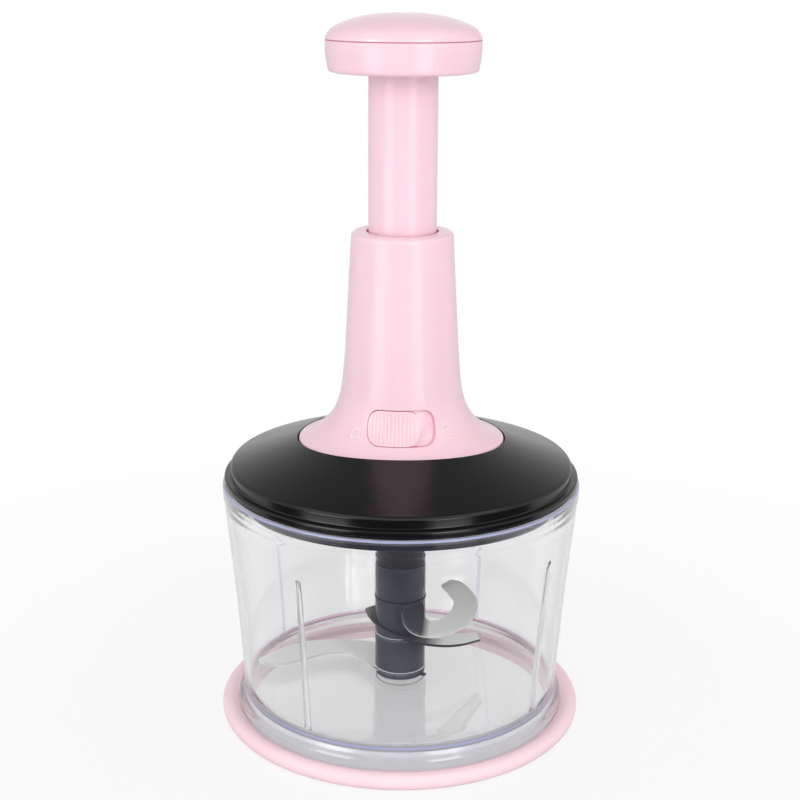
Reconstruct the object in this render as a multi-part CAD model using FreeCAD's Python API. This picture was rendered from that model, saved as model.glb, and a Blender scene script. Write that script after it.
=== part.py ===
import FreeCAD
import Part
import os
import math

# Plunger food chopper. Units are millimetres, +Z is up, Z0 is the table
# and the vertical axis of the bowl is x = y = 0. The front faces -Y.
# Each piece takes its place from the piece that carries it, so the sizes
# below form chains: bowl, foot and ring; hub and blades; lid; housing,
# lock and plunger; drive.

# ---- bowl, foot and ring: radii and heights of the outside ------------------
BOWL_BASE_R = 70.0
BOWL_MID_FLARE = 2.6
BOWL_TOP_FLARE = 6.8
BOWL_WALL = 2.2
FLOOR_THICKNESS = 2.6
RIM_STEP = 0.6
RIM_LIP = 2.4
RIM_BEAD = 4.6
RIM_SOFTENING = 0.8

RING_H = 7.5
RING_WIDTH = 7.2
RING_BEAD_OFFSET = 3.6
RING_TUCK = 3.4
RING_SEAM_DROP = 1.2
RING_LIP_H = 2.6
FOOT_FLARE = 2.8
FOOT_TOP_FLARE = 0.7
FOOT_WALL = 2.2
FOOT_GROOVE_Z = 1.6
FOOT_MID_TUCK = 0.6
FOOT_MID_RISE = 2.1
FOOT_SHOULDER_RISE = 5.0
FLOOR_RISE = 2.5
WAIST_RISE = 5.0
BOWL_MID_RISE = 36.0
BOWL_TOP_RISE = 44.5
RIM_RISE = 7.8

BOWL_MID_R = BOWL_BASE_R + BOWL_MID_FLARE
BOWL_TOP_R = BOWL_BASE_R + BOWL_TOP_FLARE
RIM_R = BOWL_TOP_R + RIM_STEP
RIM_BORE_R = RIM_R - RIM_LIP
FOOT_R = BOWL_BASE_R + FOOT_FLARE
FOOT_TOP_R = BOWL_BASE_R + FOOT_TOP_FLARE
RING_R = FOOT_R + RING_WIDTH
RING_BEAD_R = FOOT_R + RING_BEAD_OFFSET
RING_INNER_R = FOOT_R - RING_TUCK
RING_SEAM_Z = RING_H - RING_SEAM_DROP
FOOT_MID_Z = RING_H + FOOT_MID_RISE
FOOT_SHOULDER_Z = RING_H + FOOT_SHOULDER_RISE
FLOOR_Z = FOOT_SHOULDER_Z + FLOOR_RISE
BOWL_WAIST_Z = FLOOR_Z + WAIST_RISE
BOWL_MID_Z = BOWL_WAIST_Z + BOWL_MID_RISE
BOWL_TOP_Z = BOWL_MID_Z + BOWL_TOP_RISE
RIM_Z = BOWL_TOP_Z + RIM_RISE

RIB_COUNT = 4
RIB_FIRST_ANGLE = -124.0
RIB_DEPTH = 1.3
RIB_WIDTH = 1.6
RIB_HEIGHT = 69.0
RIB_TOP_Z = FLOOR_Z + RIB_HEIGHT

# ---- pivot and blade stack --------------------------------------------------
PIN_R = 2.5
PIN_BOSS_WALL = 3.5
PIN_BOSS_DEPTH = 8.0
PIN_SEAT_WALL = 1.0
PIN_TIP_CHAMFER = 0.4
BUSH_WALL = 2.7
BUSH_LENGTH = 17.5
RUN_GAP = 0.05

HUB_R = 11.2
HUB_SHELL = 2.6
HUB_FLOOR_GAP = 1.5
LOWER_BLADE_RISE = 2.1
MIDDLE_SPACING = 16.5
UPPER_SPACING = 17.4
HUB_HEAD = 16.8
BLADE_THICKNESS = 1.2
BLADE_RING_STEP = 0.3
BLADE_TILT = 15.0
MIDDLE_BLADE_RISE = 2.7
BLADE_WALL_GAP = 2.8
MIDDLE_BLADE_REACH = 36.9
UPPER_BLADE_REACH = 34.4
CORE_GAP = 0.05
CORE_FLOOR = 3.0
SOCKET_GAP = 0.4
SOCKET_DEPTH = 11.3
NUB_SIZE = 2.0
NUB_ANGLE = -30.0

PIN_BOSS_R = PIN_R + PIN_BOSS_WALL
PIN_BOSS_Z = FLOOR_Z - PIN_BOSS_DEPTH
PIN_FOOT_Z = PIN_BOSS_Z + PIN_SEAT_WALL
HUB_BOTTOM_Z = FLOOR_Z + HUB_FLOOR_GAP
PIN_TOP_Z = HUB_BOTTOM_Z + BUSH_LENGTH
BUSH_R = PIN_R + BUSH_WALL
LOWER_BLADE_Z = HUB_BOTTOM_Z + LOWER_BLADE_RISE
MIDDLE_BLADE_Z = LOWER_BLADE_Z + MIDDLE_SPACING
UPPER_BLADE_Z = MIDDLE_BLADE_Z + UPPER_SPACING
HUB_TOP_Z = UPPER_BLADE_Z + HUB_HEAD
BLADE_RING_R = HUB_R + BLADE_RING_STEP
LOWER_BLADE_REACH = BOWL_BASE_R - BOWL_WALL - BLADE_WALL_GAP
CORE_R = HUB_R - HUB_SHELL
CORE_FLOOR_TOP_Z = PIN_TOP_Z + CORE_FLOOR
SOCKET_FLOOR_Z = HUB_TOP_Z - SOCKET_DEPTH

# ---- lid --------------------------------------------------------------------
LID_SHELL = 2.4
FLANGE_INSET = 0.8
FLANGE_H = 3.6
FLANGE_STEP = 2.7
FLANGE_EDGE = 0.6
GROOVE_H = 1.3
GROOVE_DEPTH = 0.9
BAND_H = 4.0
SHOULDER_ROUND = 0.9
LID_BREAK_R = 51.0
LID_BREAK_RISE = 7.8
LID_CENTRE_R = 30.0
LID_CENTRE_RISE = 8.0
WELL_DEPTH = 9.2
WELL_GAP = 0.7
WELL_WALL = 2.0
WELL_HOLE_R = 12.6
INNER_LID_GAP = 1.6
INNER_LID_SKIRT = 2.0
INNER_LID_DROP = 4.5
INNER_LID_THICKNESS = 2.4
SKIRT_DROP = 1.1
SEAL_SQUEEZE_GAP = 0.3
SEAL_ROOT = 0.8
SEAL_RISE = 1.4
SEAL_H = 2.2
SEAL_LIP = 0.7
NECK_GAP = 0.3
TOWER_WALL = 2.5
LID_SCREW_COUNT = 3
LID_SCREW_INSET = 13.4
LID_BOSS_R = 3.6

LID_FLANGE_R = RIM_R - FLANGE_INSET
LID_FLANGE_TOP_Z = RIM_Z + FLANGE_H
LID_BAND_R = LID_FLANGE_R - FLANGE_STEP
LID_SHOULDER_Z = LID_FLANGE_TOP_Z + BAND_H
LID_SLOPE_R = LID_BAND_R - SHOULDER_ROUND
LID_SLOPE_Z = LID_SHOULDER_Z + SHOULDER_ROUND
LID_BREAK_Z = LID_SLOPE_Z + LID_BREAK_RISE
LID_CENTRE_Z = LID_BREAK_Z + LID_CENTRE_RISE
WELL_FLOOR_Z = LID_CENTRE_Z - WELL_DEPTH
INNER_LID_R = RIM_BORE_R - INNER_LID_GAP
INNER_LID_Z = RIM_Z - INNER_LID_DROP
SKIRT_BOTTOM_Z = INNER_LID_Z - SKIRT_DROP
SEAL_R = RIM_BORE_R - SEAL_SQUEEZE_GAP
SEAL_INNER_R = INNER_LID_R - SEAL_ROOT
SEAL_Z = INNER_LID_Z + SEAL_RISE
NECK_BORE_R = HUB_R - HUB_SHELL
NECK_BOTTOM_Z = HUB_TOP_Z + NECK_GAP
LID_SCREW_RADIUS = INNER_LID_R - LID_SCREW_INSET

# ---- housing ----------------------------------------------------------------
HOUSING_TOP_R = 21.5
HOUSING_H = 89.1
HOUSING_EDGE_H = 3.1
HOUSING_TAPER = 0.0551
HOUSING_LIP_H = 4.1
FLARE_WIDTH = 18.0
FLARE_DEPTH = 12.6
FLARE_HEIGHT = 7.1
HOUSING_WALL = 2.2
HOUSING_EDGE = 2.2
HOUSING_LIP = 1.4
HOUSING_ROOF = 2.6
TUBE_HOLE_GAP = 0.6
HOUSING_SCREW_COUNT = 3
HOUSING_SCREW_RADIUS = 26.0
HOUSING_BOSS_R = 4.0
HOUSING_BOSS_H = 10.6

FLARE_Z = WELL_FLOOR_Z + HOUSING_LIP_H
HOUSING_TOP_Z = FLARE_Z + HOUSING_H
HOUSING_STRAIGHT_Z = HOUSING_TOP_Z - HOUSING_EDGE_H
HOUSING_BOSS_TOP_Z = WELL_FLOOR_Z + HOUSING_BOSS_H

# ---- plunger ----------------------------------------------------------------
STROKE = 60.0
TUBE_R = 14.25
TUBE_WALL = 2.0
TUBE_END_GAP = 2.6
KNOB_END_GAP = 4.6
KNOB_FLOOR = 3.4
KNOB_WALL = 2.4
KNOB_R = 31.9
KNOB_UNDERCUT = 2.9
KNOB_SIDE_RISE = 4.8
KNOB_SIDE_H = 7.9
KNOB_SEAM_GAP = 0.3
KNOB_SHOULDER_STEP = 0.4
KNOB_SHOULDER_RISE = 1.7
KNOB_DOME_H = 10.7
KNOB_SPIGOT = 3.6
KNOB_SPIGOT_GAP = 0.3
KNOB_SPIGOT_WALL = 1.6
KNOB_SEAM_BEVEL = 0.5
KNOB_EDGE_DRAFT = 0.1
FLANGE_WIDTH = 7.25
FLANGE_THICKNESS = 2.0
KNOB_SCREW_COUNT = 3
KNOB_SCREW_INSET = 3.5
TUBE_CAP_RISE = 1.3
TUBE_CAP_THICKNESS = 3.0
CAP_H = 2.0
ROD_HEAD_GAP = 1.05
ROD_HEAD_H = 3.0
ROD_BOSS_R = 5.0
ROD_BOSS_H = 14.0
ROD_BOSS_GAP = 0.2
ROD_WIDTH = 8.0
ROD_THICKNESS = 3.6
ROD_END_GAP = 7.0
ROD_LEAD = 30.0
ROD_CUT_GAP = 0.3
ROD_BORE_GAP = 0.55

TUBE_BOTTOM_Z = WELL_FLOOR_Z + CAP_H + STROKE + TUBE_END_GAP
KNOB_BOTTOM_Z = HOUSING_TOP_Z + STROKE + KNOB_END_GAP
KNOB_LOW_R = KNOB_R - KNOB_UNDERCUT
KNOB_SIDE_Z = KNOB_BOTTOM_Z + KNOB_SIDE_RISE
KNOB_SEAM_Z = KNOB_SIDE_Z + KNOB_SIDE_H
KNOB_SHOULDER_R = KNOB_R - KNOB_SHOULDER_STEP
KNOB_SHOULDER_Z = KNOB_SEAM_Z + KNOB_SHOULDER_RISE
KNOB_CROWN_Z = KNOB_SEAM_Z + KNOB_DOME_H
FLANGE_R = TUBE_R + FLANGE_WIDTH
KNOB_SCREW_RADIUS = FLANGE_R - KNOB_SCREW_INSET
TUBE_CAP_TOP_Z = KNOB_BOTTOM_Z + TUBE_CAP_RISE
ROD_HEAD_R = TUBE_R - TUBE_WALL - ROD_HEAD_GAP
ROD_END_Z = CORE_FLOOR_TOP_Z + STROKE + ROD_END_GAP

# ---- lock -------------------------------------------------------------------
WINDOW_RISE = 8.7
WINDOW_H = 13.8
WINDOW_HALF_ANGLE = 29.5
WINDOW_CORNER = 5.4
WINDOW_FRAME = 2.0
WINDOW_FRAME_ANGLE = 6.0
RECESS_DEPTH = 1.7
RECESS_FLOOR = 1.4
LOCK_TRAVEL = 13.0
LOCK_GAP = 0.25
LOCK_PROUD = 0.5
LOCK_RIB_COUNT = 13
LOCK_RIB_RISE = 0.45
LOCK_RIB_ANGLE = 0.8
LOCK_RIB_MARGIN = 1.2
LOCK_RIB_END_ANGLE = 2.0
LOCK_NECK_HALF_ANGLE = 4.0
LOCK_NECK_RISE = 4.0
LOCK_NECK_H = 4.0
TONGUE_DROP = 1.0
TONGUE_H = 4.0
TONGUE_BITE = 1.15
TONGUE_REACH = 4.75
TONGUE_ARM = 2.5
NOTCH_SIDE_ANGLE = 7.5
NOTCH_GAP = 0.5

WINDOW_LOW_Z = WELL_FLOOR_Z + WINDOW_RISE
WINDOW_HIGH_Z = WINDOW_LOW_Z + WINDOW_H
LOCK_NECK_LOW_Z = WINDOW_LOW_Z + LOCK_NECK_RISE
LOCK_NECK_HIGH_Z = LOCK_NECK_LOW_Z + LOCK_NECK_H
TONGUE_LOW_Z = WINDOW_LOW_Z - TONGUE_DROP
TONGUE_HIGH_Z = TONGUE_LOW_Z + TONGUE_H
TONGUE_TIP_R = TUBE_R - TONGUE_BITE
TONGUE_OUTER_R = TUBE_R + TONGUE_REACH

# ---- drive ------------------------------------------------------------------
WASHER_H = 0.8
WASHER_GAP = 0.4
CLUTCH_R = 11.6
CLUTCH_SIDE_GAP = 1.4
CLUTCH_WIRE_R = 0.35
CLUTCH_TURNS = 2
CLUTCH_COIL_GAP = 2.0
SHAFT_NECK_GAP = 0.6
SHAFT_FLANGE_GAP = 0.4
SHAFT_FLANGE_H = 1.4
SHAFT_END_GAP = 2.0
SHAFT_HEX_RISE = 4.7
SHAFT_HEX_FLATS = 12.2
SHAFT_KEY_FLATS = 13.8
SHAFT_KEY_H = 3.4
KEY_GAP = 0.2
CROWN_RISE = 3.8
CROWN_H = 2.2
CROWN_PITCH = 4.0
TOOTH_COUNT = 8
TOOTH_H = 1.7
TOOTH_GAP = 0.1
TOOTH_FILL = 0.44
TOOTH_WIDTH = 3.2
NUT_H = 6.2
CAP_GAP = 0.3
CAP_R = 18.0
CAP_PLUG_GAP = 0.2
SPRING_MEAN_R = 9.0
SPRING_WIRE_R = 0.7
SPRING_TURNS = 20
SPRING_SEAT_GAP = 0.3
SPRING_SEAT_R = 11.5
SPRING_SEAT_H = 1.6
SPRING_WASHER_H = 1.3
GUIDE_BUSH_WALL = 4.75
GUIDE_BUSH_H = 13.0

SHAFT_R = NECK_BORE_R - SHAFT_NECK_GAP
SHAFT_BORE_R = math.hypot(ROD_WIDTH / 2, ROD_THICKNESS / 2) + ROD_BORE_GAP
SHAFT_BOTTOM_Z = SOCKET_FLOOR_Z + SHAFT_END_GAP
SHAFT_HEX_TOP_Z = HUB_TOP_Z + SHAFT_HEX_RISE
SOCKET_FLATS = SHAFT_HEX_FLATS + SOCKET_GAP
TOWER_BORE_R = CLUTCH_R + CLUTCH_SIDE_GAP
TOWER_R = TOWER_BORE_R + TOWER_WALL
WASHER_Z = INNER_LID_Z + INNER_LID_THICKNESS
WASHER_R = TOWER_BORE_R - WASHER_GAP
SHAFT_FLANGE_R = WASHER_R - SHAFT_FLANGE_GAP
CROWN_Z = WASHER_Z + CROWN_RISE
SHAFT_TOP_Z = CROWN_Z + SHAFT_KEY_H
NUT_Z = CROWN_Z + CROWN_PITCH
NUT_TOP_Z = NUT_Z + NUT_H
TOOTH_INNER_R = CLUTCH_R - TOOTH_WIDTH
CAP_PLUG_Z = NUT_TOP_Z + CAP_GAP
CAP_PLUG_R = WELL_HOLE_R - CAP_PLUG_GAP

# ---- screws -----------------------------------------------------------------
SCREW_R = 1.5
SCREW_HEAD_R = 2.8
SCREW_HEAD_H = 1.8
SCREW_SLOT = 0.7
SCREW_SLOT_END = 0.5
SCREW_HOLE_GAP = 0.1
SCREW_BITE = 7.0
ROD_SCREW_R = 2.0
ROD_SCREW_LENGTH = 12.0
ROD_SCREW_HEAD_R = 3.6

# ---- drawing constants ------------------------------------------------------
ORIGIN = FreeCAD.Vector(0, 0, 0)
UP = FreeCAD.Vector(0, 0, 1)
FRONT = -90.0
FULL_TURN = 360.0
MARGIN = 1.0
LONG_REACH = 60.0
TINY = 0.001
FLARE_STEPS = 13
FLARE_CROWDING = 1.8
FRONT_STEPS = 6
TWIST_STEPS_PER_TURN = 12


# ---- drawing helpers ---------------------------------------------------------------
def vec(x, y, z):
    return FreeCAD.Vector(x, y, z)


def polar(radius, angle, z=0.0):
    a = math.radians(angle)
    return vec(radius * math.cos(a), radius * math.sin(a), z)


def spun(runs, sweep=FULL_TURN, start=0.0):
    """Turn a closed r-z outline about the axis. A run of two points is straight, a longer one is smooth."""
    edges = []
    for run in runs:
        points = [vec(r, 0, z) for r, z in run]
        if len(points) == 2:
            edges.append(Part.makeLine(points[0], points[1]))
        else:
            curve = Part.BSplineCurve()
            curve.interpolate(points)
            edges.append(curve.toShape())
    face = Part.Face(Part.Wire(edges))
    solid = face.revolve(ORIGIN, UP, sweep)
    if start:
        solid.rotate(ORIGIN, UP, start)
    return solid


def spun_corners(corners, sweep=FULL_TURN, start=0.0):
    """Turn a closed outline of straight sides about the axis."""
    following = corners[1:] + corners[:1]
    return spun([[a, b] for a, b in zip(corners, following)], sweep, start)


def rod(radius, low, high, x=0.0, y=0.0):
    return Part.makeCylinder(radius, high - low, vec(x, y, low))


def tube(outer, inner, low, high):
    return rod(outer, low, high).cut(rod(inner, low, high))


def hexagon(flats, low, high):
    corner_r = flats / math.sqrt(3)
    points = [polar(corner_r, 60 * k, low) for k in range(7)]
    return Part.Face(Part.makePolygon(points)).extrude(vec(0, 0, high - low))


def fused(first, *others):
    shape = first
    for other in others:
        shape = shape.fuse(other)
    return shape.removeSplitter()


def repeated(shape, count, first_angle=0.0):
    copies = []
    for k in range(count):
        one = shape.copy()
        one.rotate(ORIGIN, UP, first_angle + FULL_TURN * k / count)
        copies.append(one)
    return copies


def rounded(shape, radius, wanted):
    """Round the edges whose centre is picked by the given test."""
    edges = [edge for edge in shape.Edges if wanted(edge)]
    return shape.makeFillet(radius, edges)


def save(shape, node):
    shape.exportStep("parts/" + node + ".step")


# ---- shared curves -----------------------------------------------------------------
def straight_part(z):
    return HOUSING_TOP_R + HOUSING_TAPER * (HOUSING_STRAIGHT_Z - z)


def half_width(z):
    return straight_part(z) + FLARE_WIDTH * math.exp((FLARE_Z - z) / FLARE_HEIGHT)


def half_depth(z):
    return straight_part(z) + FLARE_DEPTH * math.exp((FLARE_Z - z) / FLARE_HEIGHT)


def ellipse_wire(width, depth, z):
    if width - depth < TINY:
        return Part.Wire(Part.makeCircle(width, vec(0, 0, z)))
    return Part.Wire(Part.Ellipse(vec(width, 0, z), vec(0, depth, z), vec(0, 0, z)).toShape())


def ellipse_block(width, depth, low, high):
    return Part.Face(ellipse_wire(width, depth, low)).extrude(vec(0, 0, high - low))


def housing_levels(low, high):
    """Heights that crowd together where the flare is steep."""
    return [low + (high - low) * (k / FLARE_STEPS) ** FLARE_CROWDING for k in range(FLARE_STEPS + 1)]


def housing_body(inset, lift, low, high):
    """The outer form of the housing drawn in by inset, with its flare lowered by lift."""
    wires = []
    for z in housing_levels(low, high):
        wires.append(ellipse_wire(half_width(z + lift) - inset, half_depth(z + lift) - inset, z))
    return Part.makeLoft(wires, True, False)


def lid_top_z(radius):
    if radius >= LID_BREAK_R:
        share = (radius - LID_BREAK_R) / (LID_SLOPE_R - LID_BREAK_R)
        return LID_BREAK_Z + share * (LID_SLOPE_Z - LID_BREAK_Z)
    share = (LID_BREAK_R - radius) / (LID_BREAK_R - LID_CENTRE_R)
    return LID_BREAK_Z + share * (LID_CENTRE_Z - LID_BREAK_Z)


# ---- bowl ----------------------------------------------------------------------------
def bowl_outside():
    return [(BOWL_BASE_R, BOWL_WAIST_Z), (BOWL_MID_R, BOWL_MID_Z), (BOWL_TOP_R, BOWL_TOP_Z)]


def bowl_inside():
    return [(r - BOWL_WALL, z) for r, z in reversed(bowl_outside())]


def bowl_shell():
    inner_base_r = BOWL_BASE_R - BOWL_WALL
    foot_in_r = FOOT_R - FOOT_WALL
    bead_low_z = RIM_Z - RIM_BEAD
    under_z = FLOOR_Z - FLOOR_THICKNESS
    rim_edge = (RIM_R, RIM_Z - 1.5 * RIM_SOFTENING)
    foot_curve = [(BOWL_BASE_R, FLOOR_Z), (FOOT_TOP_R, FOOT_SHOULDER_Z), (FOOT_R - FOOT_MID_TUCK, FOOT_MID_Z),
                  (FOOT_R, RING_SEAM_Z)]
    outline = [
        [(0, FLOOR_Z), (inner_base_r, FLOOR_Z)],
        [(inner_base_r, FLOOR_Z), (inner_base_r, BOWL_WAIST_Z)],
        list(reversed(bowl_inside())),
        [(BOWL_TOP_R - BOWL_WALL, BOWL_TOP_Z), (RIM_BORE_R, BOWL_TOP_Z + MARGIN)],
        [(RIM_BORE_R, BOWL_TOP_Z + MARGIN), (RIM_BORE_R, RIM_Z)],
        [(RIM_BORE_R, RIM_Z), (RIM_R - RIM_SOFTENING, RIM_Z)],
        [(RIM_R - RIM_SOFTENING, RIM_Z), (RIM_R - RIM_SOFTENING / 4, RIM_Z - RIM_SOFTENING / 2), rim_edge],
        [rim_edge, (RIM_R, bead_low_z)],
        [(RIM_R, bead_low_z), (BOWL_TOP_R, BOWL_TOP_Z)],
        list(reversed(bowl_outside())),
        [(BOWL_BASE_R, BOWL_WAIST_Z), (BOWL_BASE_R, FLOOR_Z)],
        foot_curve,
        [(FOOT_R, RING_SEAM_Z), (FOOT_R, FOOT_GROOVE_Z)],
        [(FOOT_R, FOOT_GROOVE_Z), (foot_in_r, FOOT_GROOVE_Z)],
        [(foot_in_r, FOOT_GROOVE_Z), (foot_in_r, RING_SEAM_Z)],
        [(foot_in_r, RING_SEAM_Z), (FOOT_TOP_R - FOOT_WALL, under_z)],
        [(FOOT_TOP_R - FOOT_WALL, under_z), (0, under_z)],
        [(0, under_z), (0, FLOOR_Z)],
    ]
    return spun(outline)


def bowl_ribs():
    """Upright ribs that stand off the inside of the wall by an even depth."""
    inset = BOWL_WALL + RIB_DEPTH
    inner = [(r - inset, z) for r, z in bowl_outside()]
    outer = [(r - BOWL_WALL / 2, z) for r, z in reversed(bowl_outside())]
    layer = spun([
        [(BOWL_BASE_R - inset, FLOOR_Z), (BOWL_BASE_R - inset, BOWL_WAIST_Z)],
        inner,
        [inner[-1], outer[0]],
        outer,
        [outer[-1], (BOWL_BASE_R - BOWL_WALL / 2, FLOOR_Z)],
        [(BOWL_BASE_R - BOWL_WALL / 2, FLOOR_Z), (BOWL_BASE_R - inset, FLOOR_Z)],
    ])
    bar = Part.makeBox(BOWL_TOP_R, RIB_WIDTH, RIB_TOP_Z - FLOOR_Z, vec(0, -RIB_WIDTH / 2, FLOOR_Z))
    return [rib.common(layer) for rib in repeated(bar, RIB_COUNT, RIB_FIRST_ANGLE)]


def make_bowl():
    boss = rod(PIN_BOSS_R, PIN_BOSS_Z, FLOOR_Z - MARGIN)
    bowl = fused(bowl_shell(), boss, *bowl_ribs())
    return bowl.cut(rod(PIN_R, PIN_FOOT_Z, FLOOR_Z + MARGIN))


def make_base_ring():
    foot_in_r = FOOT_R - FOOT_WALL
    lip_z = RING_SEAM_Z - RING_LIP_H
    bead = RING_BEAD_OFFSET
    foot_edge = RING_WIDTH - bead
    sole_r = RING_BEAD_R - foot_edge / 9
    return spun([
        [(FOOT_R, FOOT_GROOVE_Z), (FOOT_R, RING_SEAM_Z)],
        [(FOOT_R, RING_SEAM_Z), (FOOT_R + bead / 3, RING_H - RING_SEAM_DROP / 2), (RING_BEAD_R, RING_H),
         (RING_R - foot_edge / 4, 0.88 * RING_H), (RING_R, 0.56 * RING_H),
         (RING_R - foot_edge / 5, 0.24 * RING_H), (RING_R - 0.72 * foot_edge, 0.03 * RING_H), (sole_r, 0)],
        [(sole_r, 0), (RING_INNER_R, 0)],
        [(RING_INNER_R, 0), (RING_INNER_R, lip_z)],
        [(RING_INNER_R, lip_z), (foot_in_r, lip_z)],
        [(foot_in_r, lip_z), (foot_in_r, FOOT_GROOVE_Z)],
        [(foot_in_r, FOOT_GROOVE_Z), (FOOT_R, FOOT_GROOVE_Z)],
    ])


def make_pivot_pin():
    pin = rod(PIN_R, PIN_FOOT_Z, PIN_TOP_Z)
    tip = [edge for edge in pin.Edges if edge.CenterOfMass.z > PIN_TOP_Z - TINY]
    return pin.makeChamfer(PIN_TIP_CHAMFER, tip)


# ---- blade stack ------------------------------------------------------------------------
def plate(runs, thickness):
    """A flat plate of a given thickness from smooth and straight runs of plan points."""
    edges = []
    for run in runs:
        points = [vec(x, y, 0) for x, y in run]
        if len(points) == 2:
            edges.append(Part.makeLine(points[0], points[1]))
        else:
            curve = Part.BSplineCurve()
            curve.interpolate(points)
            edges.append(curve.toShape())
    return Part.Face(Part.Wire(edges)).extrude(vec(0, 0, thickness))


def blade_with_root(leaf, ring_z):
    """Join a leaf to its ring and clear the bore for the core."""
    ring = rod(BLADE_RING_R, ring_z, ring_z + BLADE_THICKNESS)
    bore = rod(CORE_R + CORE_GAP, ring_z - LONG_REACH, ring_z + LONG_REACH)
    return leaf.fuse(ring).cut(bore).removeSplitter()


def stretched(points, reach):
    """Plan points given as shares of a blade's reach from the axis."""
    return [(x * reach, y * reach) for x, y in points]


def make_lower_blade():
    tip = (-1.0, 0.034)
    root_back = (0.138, 0.1)
    root_front = (-0.115, -0.123)
    back = [root_back, (-0.18, 0.3185), (-0.4708, 0.3677), (-0.7677, 0.2846), tip]
    front = [(-0.9277, -0.0415), (-0.8231, -0.0369), (-0.7, 0.0277), (-0.5077, 0.1385), (-0.3323, 0.1308),
             (-0.2092, -0.0415), root_front]
    runs = [back, [tip, front[0]], front, [root_front, root_back]]
    leaf = plate([stretched(run, LOWER_BLADE_REACH) for run in runs], BLADE_THICKNESS)
    leaf.translate(vec(0, 0, LOWER_BLADE_Z))
    return blade_with_root(leaf, LOWER_BLADE_Z)


def make_middle_blade():
    root_left = (-0.4472, 0.1951)
    root_back = (-0.1897, 0.2168)
    root_corner = (-0.3144, 0.3794)
    front = [root_left, (-0.3794, -0.0271), (-0.1816, -0.2873), (0.1409, -0.3957), (0.4797, -0.3279),
             (0.748, -0.1572), (1.0, 0.1192)]
    back = [(0.9566, 0.3089), (0.6721, 0.0894), (0.4363, -0.0298), (0.2439, -0.0379)]
    runs = [front, [front[-1], back[0]], back, [back[-1], root_back], [root_back, root_corner],
            [root_corner, root_left]]
    leaf = plate([stretched(run, MIDDLE_BLADE_REACH) for run in runs], BLADE_THICKNESS)
    leaf.rotate(ORIGIN, vec(0, 1, 0), BLADE_TILT)
    leaf.translate(vec(0, 0, MIDDLE_BLADE_Z + MIDDLE_BLADE_RISE))
    return blade_with_root(leaf, MIDDLE_BLADE_Z)


def make_upper_blade():
    tip_out = (0.7122, 0.3314)
    tip_in = (0.5378, 0.189)
    root_side = (0.0581, -0.2326)
    outer = [(0.0029, -0.3837), (0.1105, -0.6512), (0.436, -0.782), (0.8314, -0.6337), (1.0, -0.1977),
             tip_out]
    inner = [tip_in, (0.6715, 0.0291), (0.6395, -0.2297), (0.4942, -0.4535), (0.343, -0.4244),
             (0.2616, -0.0872)]
    runs = [outer, [tip_out, tip_in], inner, [inner[-1], root_side], [root_side, outer[0]]]
    leaf = plate([stretched(run, UPPER_BLADE_REACH) for run in runs], BLADE_THICKNESS)
    leaf.rotate(ORIGIN, vec(1, 0, 0), BLADE_TILT)
    leaf.translate(vec(0, 0, UPPER_BLADE_Z))
    return blade_with_root(leaf, UPPER_BLADE_Z)


def make_hub_core():
    """The bored stem that carries the stack: pivot bore below, rod well and drive socket above."""
    core = rod(CORE_R, HUB_BOTTOM_Z, HUB_TOP_Z)
    core = core.cut(rod(BUSH_R, HUB_BOTTOM_Z, PIN_TOP_Z))
    core = core.cut(rod(SHAFT_BORE_R, CORE_FLOOR_TOP_Z, HUB_TOP_Z))
    return core.cut(hexagon(SOCKET_FLATS, SOCKET_FLOOR_Z, HUB_TOP_Z))


def make_hub_bush():
    return tube(BUSH_R, PIN_R + RUN_GAP, HUB_BOTTOM_Z, PIN_TOP_Z)


def hub_section(low, high, blades):
    """One moulded length of the hub, notched where a leaf passes through it."""
    section = tube(HUB_R, CORE_R + CORE_GAP, low, high)
    for blade in blades:
        section = section.cut(blade)
    return section


def make_hub_foot():
    foot = hub_section(HUB_BOTTOM_Z, LOWER_BLADE_Z, [])
    nub = Part.makeBox(2 * NUB_SIZE, NUB_SIZE, NUB_SIZE / 2, vec(HUB_R - NUB_SIZE, -NUB_SIZE / 2, HUB_BOTTOM_Z))
    nub.rotate(ORIGIN, UP, NUB_ANGLE)
    return foot.fuse(nub).cut(rod(CORE_R + CORE_GAP, 0, HUB_TOP_Z)).removeSplitter()


# ---- lid ----------------------------------------------------------------------------------
def lid_underside(radius):
    return lid_top_z(radius) - LID_SHELL


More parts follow.
